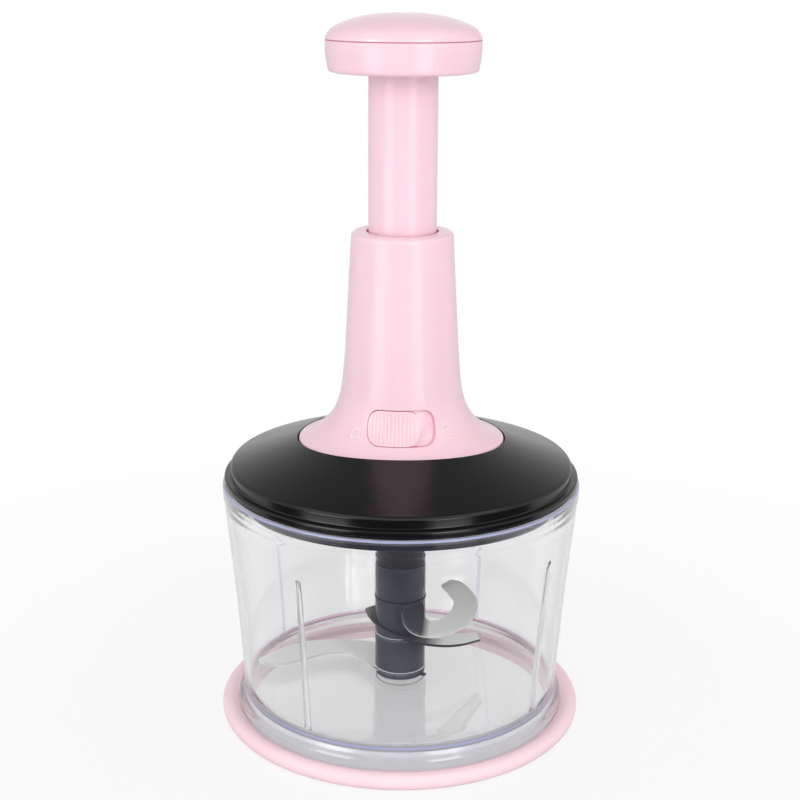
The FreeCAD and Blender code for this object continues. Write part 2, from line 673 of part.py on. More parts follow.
def make_lid_cover():
    band_in_r = LID_BAND_R - LID_SHELL
    half_round = SHOULDER_ROUND / 2
    shoulder = [(LID_SLOPE_R, LID_SLOPE_Z), (LID_BAND_R - half_round / 2, LID_SLOPE_Z - half_round),
                (LID_BAND_R, LID_SHOULDER_Z - half_round)]
    flange_low = RIM_Z
    groove_z = RIM_Z + GROOVE_H
    groove_r = LID_FLANGE_R - GROOVE_DEPTH
    groove_low_z = groove_z - GROOVE_DEPTH / 3
    foot_z = LID_FLANGE_TOP_Z + FLANGE_EDGE
    foot_r = LID_BAND_R + FLANGE_EDGE
    edge_z = LID_FLANGE_TOP_Z - 2 * FLANGE_EDGE
    outline = [
        [(0, LID_CENTRE_Z), (LID_CENTRE_R, LID_CENTRE_Z)],
        [(LID_CENTRE_R, LID_CENTRE_Z), (LID_BREAK_R, LID_BREAK_Z)],
        [(LID_BREAK_R, LID_BREAK_Z), shoulder[0]],
        shoulder,
        [shoulder[-1], (LID_BAND_R, foot_z)],
        [(LID_BAND_R, foot_z), (foot_r, LID_FLANGE_TOP_Z)],
        [(foot_r, LID_FLANGE_TOP_Z), (LID_FLANGE_R - FLANGE_EDGE, LID_FLANGE_TOP_Z - FLANGE_EDGE / 2),
         (LID_FLANGE_R, edge_z)],
        [(LID_FLANGE_R, edge_z), (LID_FLANGE_R, groove_z)],
        [(LID_FLANGE_R, groove_z), (groove_r, groove_low_z)],
        [(groove_r, groove_low_z), (groove_r, flange_low)],
        [(groove_r, flange_low), (band_in_r, flange_low)],
        [(band_in_r, flange_low), (band_in_r, lid_underside(band_in_r))],
        [(band_in_r, lid_underside(band_in_r)), (LID_BREAK_R, lid_underside(LID_BREAK_R))],
        [(LID_BREAK_R, lid_underside(LID_BREAK_R)), (LID_CENTRE_R, lid_underside(LID_CENTRE_R))],
        [(LID_CENTRE_R, lid_underside(LID_CENTRE_R)), (0, lid_underside(LID_CENTRE_R))],
        [(0, lid_underside(LID_CENTRE_R)), (0, LID_CENTRE_Z)],
    ]
    cover = spun(outline)
    envelope = spun_corners([(0, WELL_FLOOR_Z - LID_SHELL), (LID_BREAK_R, WELL_FLOOR_Z - LID_SHELL),
                             (LID_BREAK_R, LID_BREAK_Z), (LID_CENTRE_R, LID_CENTRE_Z), (0, LID_CENTRE_Z)])
    well_width = half_width(FLARE_Z) + WELL_GAP
    well_depth = half_depth(FLARE_Z) + WELL_GAP
    cup = ellipse_block(well_width + WELL_WALL, well_depth + WELL_WALL, WELL_FLOOR_Z - LID_SHELL, LID_CENTRE_Z)
    cover = cover.fuse(cup.common(envelope))
    cover = cover.cut(ellipse_block(well_width, well_depth, WELL_FLOOR_Z, LID_CENTRE_Z + MARGIN))
    cover = cover.cut(rod(WELL_HOLE_R, WELL_FLOOR_Z - 2 * LID_SHELL, WELL_FLOOR_Z + MARGIN))
    for angle in screw_angles(HOUSING_SCREW_COUNT):
        spot = polar(HOUSING_SCREW_RADIUS, angle)
        hole = rod(SCREW_R + SCREW_HOLE_GAP, WELL_FLOOR_Z - 2 * LID_SHELL, WELL_FLOOR_Z + MARGIN, spot.x,
                   spot.y)
        cover = cover.cut(hole)
    boss_top = lid_underside(LID_SCREW_RADIUS) + MARGIN
    for angle in screw_angles(LID_SCREW_COUNT):
        spot = polar(LID_SCREW_RADIUS, angle)
        cover = cover.fuse(rod(LID_BOSS_R, INNER_LID_Z + INNER_LID_THICKNESS, boss_top, spot.x, spot.y))
        bite = INNER_LID_Z + INNER_LID_THICKNESS + SCREW_BITE
        cover = cover.cut(rod(SCREW_R, INNER_LID_Z, bite, spot.x, spot.y))
    return cover.removeSplitter()


def screw_angles(count):
    """Screws start at the back, so that the front stays clear for the lock."""
    return [-FRONT + FULL_TURN * k / count for k in range(count)]


def make_inner_lid():
    plate_top = INNER_LID_Z + INNER_LID_THICKNESS
    skirt_in_r = INNER_LID_R - INNER_LID_SKIRT
    seal_top = SEAL_Z + SEAL_H
    disc = spun_corners([
        (0, INNER_LID_Z), (skirt_in_r, INNER_LID_Z), (skirt_in_r, SKIRT_BOTTOM_Z),
        (INNER_LID_R, SKIRT_BOTTOM_Z), (INNER_LID_R, SEAL_Z), (SEAL_INNER_R, SEAL_Z), (SEAL_INNER_R, seal_top),
        (INNER_LID_R, seal_top), (INNER_LID_R, RIM_Z), (skirt_in_r, RIM_Z), (skirt_in_r, plate_top),
        (0, plate_top)])
    tower = rod(TOWER_R, INNER_LID_Z, WELL_FLOOR_Z - LID_SHELL)
    neck = rod(HUB_R, NECK_BOTTOM_Z, INNER_LID_Z + MARGIN)
    shape = fused(disc, tower, neck)
    shape = shape.cut(rod(TOWER_BORE_R, WASHER_Z, WELL_FLOOR_Z))
    shape = shape.cut(rod(NECK_BORE_R, NECK_BOTTOM_Z, INNER_LID_Z - 3 * MARGIN))
    shape = shape.cut(rod(SHAFT_R + RUN_GAP, NECK_BOTTOM_Z, WASHER_Z))
    for angle in screw_angles(LID_SCREW_COUNT):
        spot = polar(LID_SCREW_RADIUS, angle)
        shape = shape.cut(rod(SCREW_R + SCREW_HOLE_GAP, INNER_LID_Z, plate_top, spot.x, spot.y))
    return shape.removeSplitter()


def make_lid_seal():
    top = SEAL_Z + SEAL_H
    lip = SEAL_R - SEAL_LIP
    return spun_corners([(SEAL_INNER_R, SEAL_Z), (lip, SEAL_Z), (SEAL_R, SEAL_Z + SEAL_H / 2), (lip, top),
                         (SEAL_INNER_R, top)])


def screw(length, head_below=True):
    """A pan-head screw with a cross slot: its head hangs below z = 0 and its shank stands above."""
    shank = rod(SCREW_R, 0, length)
    head = rod(SCREW_HEAD_R, -SCREW_HEAD_H, 0)
    shape = shank.fuse(head).removeSplitter()
    for turn in (0, 90):
        half_slot = SCREW_R + SCREW_SLOT_END
        corner = vec(-half_slot, -SCREW_SLOT / 2, -SCREW_HEAD_H)
        slot = Part.makeBox(2 * half_slot, SCREW_SLOT, SCREW_SLOT, corner)
        slot.rotate(ORIGIN, UP, turn)
        shape = shape.cut(slot)
    if not head_below:
        shape.rotate(ORIGIN, vec(1, 0, 0), 180)
    return shape


def screw_set(count, radius, joint_z, length, head_below=True):
    solids = []
    for angle in screw_angles(count):
        one = screw(length, head_below)
        one.translate(polar(radius, angle, joint_z))
        solids.append(one)
    return Part.makeCompound(solids)


# ---- housing and lock -----------------------------------------------------------------------
def front_run(offset, low, high):
    """The front slope of the housing, moved outward by offset."""
    levels = [low + (high - low) * k / FRONT_STEPS for k in range(FRONT_STEPS + 1)]
    return [(half_depth(z) + offset, z) for z in levels]


def front_layer(inner_offset, outer_offset, low, high):
    """A thick skin that follows the front slope all the way round the axis."""
    inner = front_run(inner_offset, low, high)
    outer = front_run(outer_offset, low, high)
    return spun([inner, [inner[-1], outer[-1]], list(reversed(outer)), [outer[0], inner[0]]])


def wedge(from_angle, to_angle, low, high, reach):
    """A slice of a cylinder between two angles."""
    return spun_corners([(0, low), (reach, low), (reach, high), (0, high)], to_angle - from_angle, from_angle)


def rounded_window(from_angle, to_angle, low, high, corner, radius):
    """A radial plug with rounded ends, between two angles and two heights."""
    inset = math.degrees(corner / radius)
    body = wedge(from_angle + inset, to_angle - inset, low, high, 3 * radius)
    ends = []
    for angle in (from_angle + inset, to_angle - inset):
        for z in (low + corner, high - corner):
            end = Part.makeCylinder(corner, 3 * radius, vec(0, 0, z), polar(1, angle))
            ends.append(end)
        middle = Part.makeBox(3 * radius, 2 * corner, high - low - 2 * corner, vec(0, -corner, low + corner))
        middle.rotate(ORIGIN, UP, angle)
        ends.append(middle)
    plug = body
    for end in ends:
        plug = plug.fuse(end)
    return plug


def window_radius():
    return half_depth((WINDOW_LOW_Z + WINDOW_HIGH_Z) / 2)


def make_housing():
    outer = housing_body(0, 0, FLARE_Z, HOUSING_TOP_Z)
    lip = ellipse_block(half_width(FLARE_Z), half_depth(FLARE_Z), WELL_FLOOR_Z, FLARE_Z)
    outer = outer.fuse(lip).removeSplitter()
    outer = rounded(outer, HOUSING_EDGE, lambda edge: abs(edge.CenterOfMass.z - HOUSING_TOP_Z) < TINY)
    outer = rounded(outer, HOUSING_LIP, lambda edge: abs(edge.CenterOfMass.z - FLARE_Z) < TINY)
    hollow = housing_body(HOUSING_WALL, HOUSING_WALL, WELL_FLOOR_Z, HOUSING_TOP_Z - HOUSING_ROOF)
    shell = outer.cut(hollow)
    pad_low = WINDOW_LOW_Z - WINDOW_FRAME
    pad_high = WINDOW_HIGH_Z + WINDOW_FRAME
    pad = front_layer(-RECESS_DEPTH - RECESS_FLOOR, -RECESS_DEPTH + MARGIN, pad_low, pad_high)
    half_pad = WINDOW_HALF_ANGLE + WINDOW_FRAME_ANGLE
    pad = pad.common(wedge(FRONT - half_pad, FRONT + half_pad, WELL_FLOOR_Z, HOUSING_TOP_Z, LONG_REACH))
    shell = shell.fuse(pad.common(outer))
    shell = shell.cut(rod(TUBE_R + TUBE_HOLE_GAP, HOUSING_TOP_Z - 2 * HOUSING_ROOF, HOUSING_TOP_Z + MARGIN))
    recess = front_layer(-RECESS_DEPTH, LONG_REACH, pad_low, pad_high)
    window = rounded_window(FRONT - WINDOW_HALF_ANGLE, FRONT + WINDOW_HALF_ANGLE, WINDOW_LOW_Z, WINDOW_HIGH_Z,
                            WINDOW_CORNER, window_radius())
    shell = shell.cut(window.common(recess))
    slot_half = LOCK_NECK_HALF_ANGLE + LOCK_TRAVEL / 2 + MARGIN
    slot = wedge(FRONT - slot_half, FRONT + slot_half, LOCK_NECK_LOW_Z - LOCK_GAP, LOCK_NECK_HIGH_Z + LOCK_GAP,
                 LONG_REACH)
    shell = shell.cut(slot)
    for angle in screw_angles(HOUSING_SCREW_COUNT):
        spot = polar(HOUSING_SCREW_RADIUS, angle)
        boss = rod(HOUSING_BOSS_R, WELL_FLOOR_Z, HOUSING_BOSS_TOP_Z, spot.x, spot.y)
        shell = shell.fuse(boss.common(outer))
        shell = shell.cut(rod(SCREW_R, WELL_FLOOR_Z, WELL_FLOOR_Z + SCREW_BITE, spot.x, spot.y))
    return shell.removeSplitter()


def slider_span():
    """The slider's angles at rest, with the unlocked end of the window on the left."""
    low = FRONT - WINDOW_HALF_ANGLE + math.degrees(LOCK_GAP / window_radius())
    high = FRONT + WINDOW_HALF_ANGLE - math.degrees(LOCK_GAP / window_radius()) - LOCK_TRAVEL
    return low, high


def make_lock_slider():
    low, high = slider_span()
    centre = (low + high) / 2
    plug = rounded_window(low, high, WINDOW_LOW_Z + LOCK_GAP, WINDOW_HIGH_Z - LOCK_GAP,
                          WINDOW_CORNER - LOCK_GAP, window_radius())
    button = plug.common(front_layer(-RECESS_DEPTH + LOCK_GAP / 2, LOCK_PROUD, WINDOW_LOW_Z, WINDOW_HIGH_Z))
    rib_layer = front_layer(LOCK_PROUD / 2, LOCK_PROUD + LOCK_RIB_RISE, WINDOW_LOW_Z + LOCK_RIB_MARGIN,
                            WINDOW_HIGH_Z - LOCK_RIB_MARGIN)
    pitch = (high - low - 2 * LOCK_RIB_END_ANGLE) / LOCK_RIB_COUNT
    ribs = []
    for k in range(LOCK_RIB_COUNT):
        angle = low + LOCK_RIB_END_ANGLE + pitch * (k + 0.5)
        rib = wedge(angle - LOCK_RIB_ANGLE / 2, angle + LOCK_RIB_ANGLE / 2, WINDOW_LOW_Z, WINDOW_HIGH_Z,
                    LONG_REACH)
        ribs.append(rib.common(rib_layer).common(plug))
    neck_angle = FRONT - LOCK_TRAVEL / 2
    neck = wedge(neck_angle - LOCK_NECK_HALF_ANGLE, neck_angle + LOCK_NECK_HALF_ANGLE, LOCK_NECK_LOW_Z,
                 LOCK_NECK_HIGH_Z, window_radius())
    neck = neck.cut(rod(TONGUE_OUTER_R, LOCK_NECK_LOW_Z, LOCK_NECK_HIGH_Z))
    return fused(button, neck, *ribs)


def make_lock_tongue():
    """The hook inside the housing that turns with the slider and enters the notch of the lowered tube."""
    from_angle = FRONT - LOCK_TRAVEL / 2 - LOCK_NECK_HALF_ANGLE
    to_angle = from_angle + 2 * LOCK_NECK_HALF_ANGLE
    arm = wedge(from_angle, to_angle, TONGUE_LOW_Z, LOCK_NECK_HIGH_Z, TONGUE_OUTER_R)
    arm = arm.cut(rod(TONGUE_OUTER_R - TONGUE_ARM, TONGUE_LOW_Z, LOCK_NECK_HIGH_Z))
    finger = wedge(from_angle, to_angle, TONGUE_LOW_Z, TONGUE_HIGH_Z, TONGUE_OUTER_R - TONGUE_ARM / 2)
    finger = finger.cut(rod(TONGUE_TIP_R, TONGUE_LOW_Z, TONGUE_HIGH_Z))
    return fused(arm, finger)


def make_guide_bush():
    top = HOUSING_TOP_Z - HOUSING_ROOF
    return tube(TUBE_R + GUIDE_BUSH_WALL, TUBE_R + RUN_GAP, top - GUIDE_BUSH_H, top)


# ---- plunger ---------------------------------------------------------------------------------
def notch_for_tongue():
    """An L-shaped way into the bottom of the tube: straight up at the open angle, then sideways under a lip."""
    open_angle = FRONT - LOCK_TRAVEL / 2
    locked_angle = open_angle + LOCK_TRAVEL
    side = NOTCH_SIDE_ANGLE
    top = TONGUE_HIGH_Z + STROKE + NOTCH_GAP
    lip_top = TONGUE_LOW_Z + STROKE - NOTCH_GAP
    entry = wedge(open_angle - side, open_angle + side, TUBE_BOTTOM_Z - MARGIN, top, TUBE_R + MARGIN)
    turn = wedge(open_angle, locked_angle + side, lip_top, top, TUBE_R + MARGIN)
    return entry.fuse(turn)


def make_plunger_tube():
    bore_r = TUBE_R - TUBE_WALL
    flange_z = KNOB_BOTTOM_Z + KNOB_FLOOR
    shape = rod(TUBE_R, TUBE_BOTTOM_Z, flange_z + FLANGE_THICKNESS)
    shape = shape.fuse(rod(FLANGE_R, flange_z, flange_z + FLANGE_THICKNESS))
    shape = shape.cut(rod(bore_r, TUBE_BOTTOM_Z, TUBE_CAP_TOP_Z - TUBE_CAP_THICKNESS))
    shape = shape.cut(rod(bore_r, TUBE_CAP_TOP_Z, flange_z + FLANGE_THICKNESS))
    shape = shape.cut(rod(ROD_SCREW_R + SCREW_HOLE_GAP, TUBE_BOTTOM_Z, flange_z))
    for angle in screw_angles(KNOB_SCREW_COUNT):
        spot = polar(KNOB_SCREW_RADIUS, angle)
        shape = shape.cut(rod(SCREW_R + SCREW_HOLE_GAP, flange_z, flange_z + FLANGE_THICKNESS, spot.x, spot.y))
    return shape.cut(notch_for_tongue()).removeSplitter()


def make_knob_cup():
    inner_r = KNOB_R - KNOB_WALL
    floor_top = KNOB_BOTTOM_Z + KNOB_FLOOR
    seam_r = KNOB_R - KNOB_SEAM_BEVEL
    edge_r = KNOB_R - KNOB_EDGE_DRAFT
    half_cut = KNOB_UNDERCUT / 2
    cup = spun([
        [(TUBE_R + RUN_GAP, KNOB_BOTTOM_Z), (KNOB_LOW_R, KNOB_BOTTOM_Z)],
        [(KNOB_LOW_R, KNOB_BOTTOM_Z), (KNOB_LOW_R + half_cut, KNOB_BOTTOM_Z + half_cut / 2),
         (KNOB_R - half_cut / 2, KNOB_SIDE_Z - half_cut / 2),
         (KNOB_R - 1.5 * KNOB_EDGE_DRAFT, KNOB_SIDE_Z + KNOB_SIDE_H / 2),
         (edge_r, KNOB_SEAM_Z - KNOB_SEAM_BEVEL)],
        [(edge_r, KNOB_SEAM_Z - KNOB_SEAM_BEVEL), (seam_r, KNOB_SEAM_Z)],
        [(seam_r, KNOB_SEAM_Z), (inner_r, KNOB_SEAM_Z)],
        [(inner_r, KNOB_SEAM_Z), (inner_r, floor_top)],
        [(inner_r, floor_top), (TUBE_R + RUN_GAP, floor_top)],
        [(TUBE_R + RUN_GAP, floor_top), (TUBE_R + RUN_GAP, KNOB_BOTTOM_Z)],
    ])
    for angle in screw_angles(KNOB_SCREW_COUNT):
        spot = polar(KNOB_SCREW_RADIUS, angle)
        cup = cup.cut(rod(SCREW_R, KNOB_BOTTOM_Z + MARGIN, floor_top, spot.x, spot.y))
    return cup


def make_knob_cap():
    inner_r = KNOB_R - KNOB_WALL
    low = KNOB_SEAM_Z + KNOB_SEAM_GAP
    crown = KNOB_CROWN_Z
    seam_r = KNOB_R - KNOB_SEAM_BEVEL
    edge = (KNOB_R - KNOB_EDGE_DRAFT, low + KNOB_SEAM_BEVEL)
    spigot_r = inner_r - KNOB_SPIGOT_GAP
    spigot_in_r = spigot_r - KNOB_SPIGOT_WALL
    spigot_z = KNOB_SEAM_Z - KNOB_SPIGOT
    inner_top = crown - KNOB_WALL
    dome_foot = (spigot_in_r, inner_top - 0.56 * KNOB_DOME_H)
    return spun([
        [(0, crown), (0.282 * KNOB_R, crown - 0.033 * KNOB_DOME_H),
         (0.564 * KNOB_R, crown - 0.159 * KNOB_DOME_H), (0.784 * KNOB_R, crown - 0.364 * KNOB_DOME_H),
         (0.922 * KNOB_R, crown - 0.579 * KNOB_DOME_H), (KNOB_SHOULDER_R, KNOB_SHOULDER_Z), edge],
        [edge, (seam_r, low)],
        [(seam_r, low), (spigot_r, low)],
        [(spigot_r, low), (spigot_r, spigot_z)],
        [(spigot_r, spigot_z), (spigot_in_r, spigot_z)],
        [(spigot_in_r, spigot_z), dome_foot],
        [dome_foot, (0.75 * KNOB_R, inner_top - 0.327 * KNOB_DOME_H),
         (0.53 * KNOB_R, inner_top - 0.131 * KNOB_DOME_H), (0.282 * KNOB_R, inner_top - 0.028 * KNOB_DOME_H),
         (0, inner_top)],
        [(0, inner_top), (0, crown)],
    ])


def rod_section(half_width_mm, half_thickness_mm, turn, z):
    corners = []
    for x, y in ((1, 1), (-1, 1), (-1, -1), (1, -1), (1, 1)):
        corner = vec(x * half_width_mm, y * half_thickness_mm, z)
        corners.append(corner)
    wire = Part.makePolygon(corners)
    wire.rotate(ORIGIN, UP, turn)
    return wire


def twisted_bar(grow, low, high):
    """A flat bar twisted clockwise as it rises, its sides drawn out by grow."""
    steps = math.ceil((high - low) / ROD_LEAD * TWIST_STEPS_PER_TURN)
    wires = []
    for k in range(steps + 1):
        z = low + (high - low) * k / steps
        turn = -FULL_TURN * (z - ROD_END_Z) / ROD_LEAD
        wires.append(rod_section(ROD_WIDTH / 2 + grow, ROD_THICKNESS / 2 + grow, turn, z))
    return Part.makeLoft(wires, True, False)


def make_helix_rod():
    head_top = TUBE_CAP_TOP_Z - TUBE_CAP_THICKNESS
    head_low = head_top - ROD_HEAD_H
    bar_top = head_top - ROD_BOSS_H
    bar = twisted_bar(0, ROD_END_Z, bar_top)
    shape = bar.fuse(rod(ROD_BOSS_R, bar_top, head_top)).fuse(rod(ROD_HEAD_R, head_low, head_top))
    return shape.cut(rod(ROD_SCREW_R, TUBE_CAP_TOP_Z - ROD_SCREW_LENGTH - MARGIN, head_top)).removeSplitter()


def make_rod_screw():
    shank = rod(ROD_SCREW_R, TUBE_CAP_TOP_Z - ROD_SCREW_LENGTH, TUBE_CAP_TOP_Z)
    head = rod(ROD_SCREW_HEAD_R, TUBE_CAP_TOP_Z, TUBE_CAP_TOP_Z + SCREW_HEAD_H)
    shape = shank.fuse(head).removeSplitter()
    return shape.cut(hexagon(ROD_SCREW_R * 2, TUBE_CAP_TOP_Z + SCREW_HEAD_H / 2, TUBE_CAP_TOP_Z + SCREW_HEAD_H))


def spring_top():
    return TUBE_CAP_TOP_Z - TUBE_CAP_THICKNESS - ROD_HEAD_H - SPRING_WASHER_H


def spring_bottom():
    return WELL_FLOOR_Z + CAP_H


def coil(mean_r, wire_r, low, high, turns):
    """A round wire wound between two heights, with its ends clear of both seats by nothing but the wire."""
    height = high - low - 2 * wire_r
    helix = Part.makeHelix(height / turns, height, mean_r)
    section = Part.Wire(Part.makeCircle(wire_r, vec(mean_r, 0, 0), vec(0, 1, 0)))
    spring = Part.Wire(helix.Edges).makePipeShell([section], True, True)
    spring.translate(vec(0, 0, low + wire_r))
    return spring


def make_spring_washer():
    low = spring_top()
    return tube(ROD_HEAD_R, ROD_BOSS_R + ROD_BOSS_GAP, low, low + SPRING_WASHER_H)


# ---- drive -----------------------------------------------------------------------------------
def tooth_ring(outer, inner, low, high, first_angle):
    span = FULL_TURN / TOOTH_COUNT * TOOTH_FILL
    tooth = wedge(-span / 2, span / 2, low, high, outer).cut(rod(inner, low, high))
    return repeated(tooth, TOOTH_COUNT, first_angle)


def make_drive_nut():
    nut = rod(CLUTCH_R, NUT_Z, NUT_TOP_Z)
    nut = nut.cut(twisted_bar(ROD_CUT_GAP, NUT_Z - MARGIN, NUT_TOP_Z + MARGIN))
    teeth = tooth_ring(CLUTCH_R, TOOTH_INNER_R, NUT_Z - TOOTH_H, NUT_Z, 0)
    return fused(nut, *teeth)


def make_ratchet_crown():
    crown = rod(CLUTCH_R, CROWN_Z, CROWN_Z + CROWN_H)
    crown = crown.cut(hexagon(SHAFT_KEY_FLATS + KEY_GAP, CROWN_Z, CROWN_Z + CROWN_H))
    half_pitch = FULL_TURN / TOOTH_COUNT / 2
    teeth = tooth_ring(CLUTCH_R, TOOTH_INNER_R, CROWN_Z + CROWN_H, NUT_Z - TOOTH_GAP, half_pitch)
    return fused(crown, *teeth)


def make_drive_shaft():
    flange_z = WASHER_Z + WASHER_H
    stem = rod(SHAFT_R, SHAFT_HEX_TOP_Z, flange_z + SHAFT_FLANGE_H)
    flange = rod(SHAFT_FLANGE_R, flange_z, flange_z + SHAFT_FLANGE_H)
    key = hexagon(SHAFT_KEY_FLATS, flange_z, SHAFT_TOP_Z)
    end = hexagon(SHAFT_HEX_FLATS, SHAFT_BOTTOM_Z, SHAFT_HEX_TOP_Z)
    return fused(stem, flange, key, end).cut(rod(SHAFT_BORE_R, SHAFT_BOTTOM_Z, SHAFT_TOP_Z))


def make_thrust_washer():
    return tube(WASHER_R, SHAFT_R + WASHER_GAP, WASHER_Z, WASHER_Z + WASHER_H)


def make_clutch_spring():
    low = WASHER_Z + WASHER_H + SHAFT_FLANGE_H
    return coil(SHAFT_R + CLUTCH_COIL_GAP, CLUTCH_WIRE_R, low, CROWN_Z, CLUTCH_TURNS)


def make_drive_cap():
    """The cover of the drive chamber: a plug that keeps the nut down and a seat for the return spring."""
    cap = fused(rod(CAP_R, WELL_FLOOR_Z, WELL_FLOOR_Z + CAP_H), rod(CAP_PLUG_R, CAP_PLUG_Z, WELL_FLOOR_Z),
                tube(SPRING_SEAT_R, SPRING_MEAN_R + SPRING_WIRE_R + SPRING_SEAT_GAP, WELL_FLOOR_Z + CAP_H,
                     WELL_FLOOR_Z + CAP_H + SPRING_SEAT_H))
    return cap.cut(rod(ROD_BOSS_R + ROD_BOSS_GAP, CAP_PLUG_Z, WELL_FLOOR_Z + CAP_H))


# ---- all nodes ---------------------------------------------------------------------------------
os.makedirs("parts", exist_ok=True)

lower_blade = make_lower_blade()
middle_blade = make_middle_blade()
upper_blade = make_upper_blade()
leaves = [lower_blade, middle_blade, upper_blade]

save(make_bowl(), "bowl")
save(make_base_ring(), "base_ring")
save(make_pivot_pin(), "pivot_pin")

save(lower_blade, "lower_blade")
save(middle_blade, "middle_blade")
save(upper_blade, "upper_blade")
save(make_hub_core(), "hub_core")
save(make_hub_bush(), "hub_bush")
save(make_hub_foot(), "hub_foot")
save(hub_section(LOWER_BLADE_Z + BLADE_THICKNESS, MIDDLE_BLADE_Z, leaves), "lower_spacer")
save(hub_section(MIDDLE_BLADE_Z + BLADE_THICKNESS, UPPER_BLADE_Z, leaves), "middle_spacer")
save(hub_section(UPPER_BLADE_Z + BLADE_THICKNESS, HUB_TOP_Z, leaves), "hub_sleeve")

save(make_lid_cover(), "lid_cover")
save(make_inner_lid(), "inner_lid")
save(make_lid_seal(), "lid_seal")
save(screw_set(LID_SCREW_COUNT, LID_SCREW_RADIUS, INNER_LID_Z, SCREW_BITE), "lid_screws")
save(make_housing(), "housing")
save(screw_set(HOUSING_SCREW_COUNT, HOUSING_SCREW_RADIUS, WELL_FLOOR_Z - LID_SHELL, SCREW_BITE),
     "housing_screws")
save(make_guide_bush(), "guide_bush")
save(make_thrust_washer(), "thrust_washer")
save(make_drive_cap(), "drive_cap")

save(make_drive_nut(), "drive_nut")
save(make_ratchet_crown(), "ratchet_crown")
save(make_clutch_spring(), "clutch_spring")
save(make_drive_shaft(), "drive_shaft")

save(make_lock_slider(), "lock_slider")
save(make_lock_tongue(), "lock_tongue")

save(make_knob_cap(), "knob_cap")
save(make_knob_cup(), "knob_cup")
save(make_plunger_tube(), "plunger_tube")
save(screw_set(KNOB_SCREW_COUNT, KNOB_SCREW_RADIUS, KNOB_BOTTOM_Z + KNOB_FLOOR + FLANGE_THICKNESS,
               FLANGE_THICKNESS + KNOB_FLOOR - 1.5 * MARGIN, False), "knob_screws")
save(make_helix_rod(), "helix_rod")
save(make_rod_screw(), "rod_screw")
save(make_spring_washer(), "spring_washer")
save(coil(SPRING_MEAN_R, SPRING_WIRE_R, spring_bottom(), spring_top(), SPRING_TURNS), "return_spring")
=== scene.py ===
# %% [markdown]
# # A plunger food chopper, dressed for its portrait
# The chopper has a clear tapered bowl on a soft ring, three curved blades on a
# dark hub, a black lid, and a pastel housing with a plunger and a palm knob.
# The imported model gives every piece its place. This script models what is seen
# again as fine meshes, and gives each piece a finish made of shader nodes.

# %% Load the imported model
import math
import bmesh
import bpy
from mathutils import Matrix, Vector
from mathutils.geometry import interpolate_bezier


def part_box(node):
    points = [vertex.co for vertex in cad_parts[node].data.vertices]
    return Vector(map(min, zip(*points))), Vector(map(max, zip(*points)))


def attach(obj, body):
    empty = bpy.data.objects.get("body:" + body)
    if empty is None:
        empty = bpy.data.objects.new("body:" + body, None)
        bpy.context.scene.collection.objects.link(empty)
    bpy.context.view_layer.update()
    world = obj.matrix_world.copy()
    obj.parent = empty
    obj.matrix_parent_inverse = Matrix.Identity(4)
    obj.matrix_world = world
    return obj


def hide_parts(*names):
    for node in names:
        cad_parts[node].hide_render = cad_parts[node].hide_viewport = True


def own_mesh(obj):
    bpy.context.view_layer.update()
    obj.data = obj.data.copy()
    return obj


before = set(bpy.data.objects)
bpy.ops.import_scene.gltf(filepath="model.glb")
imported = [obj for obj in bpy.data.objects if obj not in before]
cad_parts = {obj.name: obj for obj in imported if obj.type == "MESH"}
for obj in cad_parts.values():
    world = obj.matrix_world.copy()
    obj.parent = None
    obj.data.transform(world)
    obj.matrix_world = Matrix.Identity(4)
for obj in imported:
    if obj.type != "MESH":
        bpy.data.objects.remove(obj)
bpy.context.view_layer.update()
print("nodes:", len(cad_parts))

# %% [markdown]
# ## Units and places
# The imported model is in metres, but a moulded part is easier to think about in
# millimetres. Every mesh below is drawn in millimetres and scaled once, when it
# becomes an object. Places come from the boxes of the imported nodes.

# %% Units and places
MM = 0.001
FULL_TURN = 2 * math.pi
QUARTER = math.pi / 2
FRONT = -QUARTER
WELD = 0.002


def low(node):
    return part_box(node)[0] / MM


def high(node):
    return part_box(node)[1] / MM


# %% [markdown]
# ## Outlines
# Turned and moulded parts are known by their outline, so three small helpers
# draw outlines: one runs a smooth curve through a few points, one rounds a
# corner, and one mixes both into a list of (radius, height) points. Bezier
# spans do the work, because Blender can sample them for us.

# %% Outline helpers
SPAN_STEPS = 6
CORNER_STEPS = 4


def smooth_run(points, steps=SPAN_STEPS):
    """Sample a smooth curve that passes through every point."""
    knots = [Vector((a, b)) for a, b in points]
    spread = [2 * knots[0] - knots[1], *knots, 2 * knots[-1] - knots[-2]]
    samples = []
    for k in range(len(knots) - 1):
        before, start, end, after = spread[k:k + 4]
        reach = (end - start).length / 3
        leave = (end - before).normalized() * reach
        arrive = (after - start).normalized() * reach
        samples += interpolate_bezier(start, start + leave, end - arrive, end, steps + 1)[:-1]
    return [(p.x, p.y) for p in samples] + [tuple(points[-1])]


def rounded_corner(before, corner, after, radius, steps=CORNER_STEPS):
    """Replace a corner by an arc of the given radius."""
    b = Vector(corner)
    back = (Vector(before) - b).normalized()
    onward = (Vector(after) - b).normalized()
    turn = math.pi - back.angle(onward)
    tangent = radius * math.tan(turn / 2)
    pull = 1 - 4 / 3 * math.tan(turn / 4) / math.tan(turn / 2)
    start = b + back * tangent
    end = b + onward * tangent
    arc = interpolate_bezier(start, b + back * tangent * pull, b + onward * tangent * pull, end, steps + 1)
    return [(p.x, p.y) for p in arc]


def outline(corners, closed=True):
    """Turn (a, b) points and (a, b, radius) corners into one list of points."""
    drawn = []
    last = len(corners) - 1
    for k, corner in enumerate(corners):
        a, b, *radius = corner
        if radius and (closed or 0 < k < last):
            before = corners[k - 1][:2]
            after = corners[(k + 1) % len(corners)][:2]
            drawn += rounded_corner(before, (a, b), after, radius[0])
        else:
            drawn.append((a, b))
    return drawn


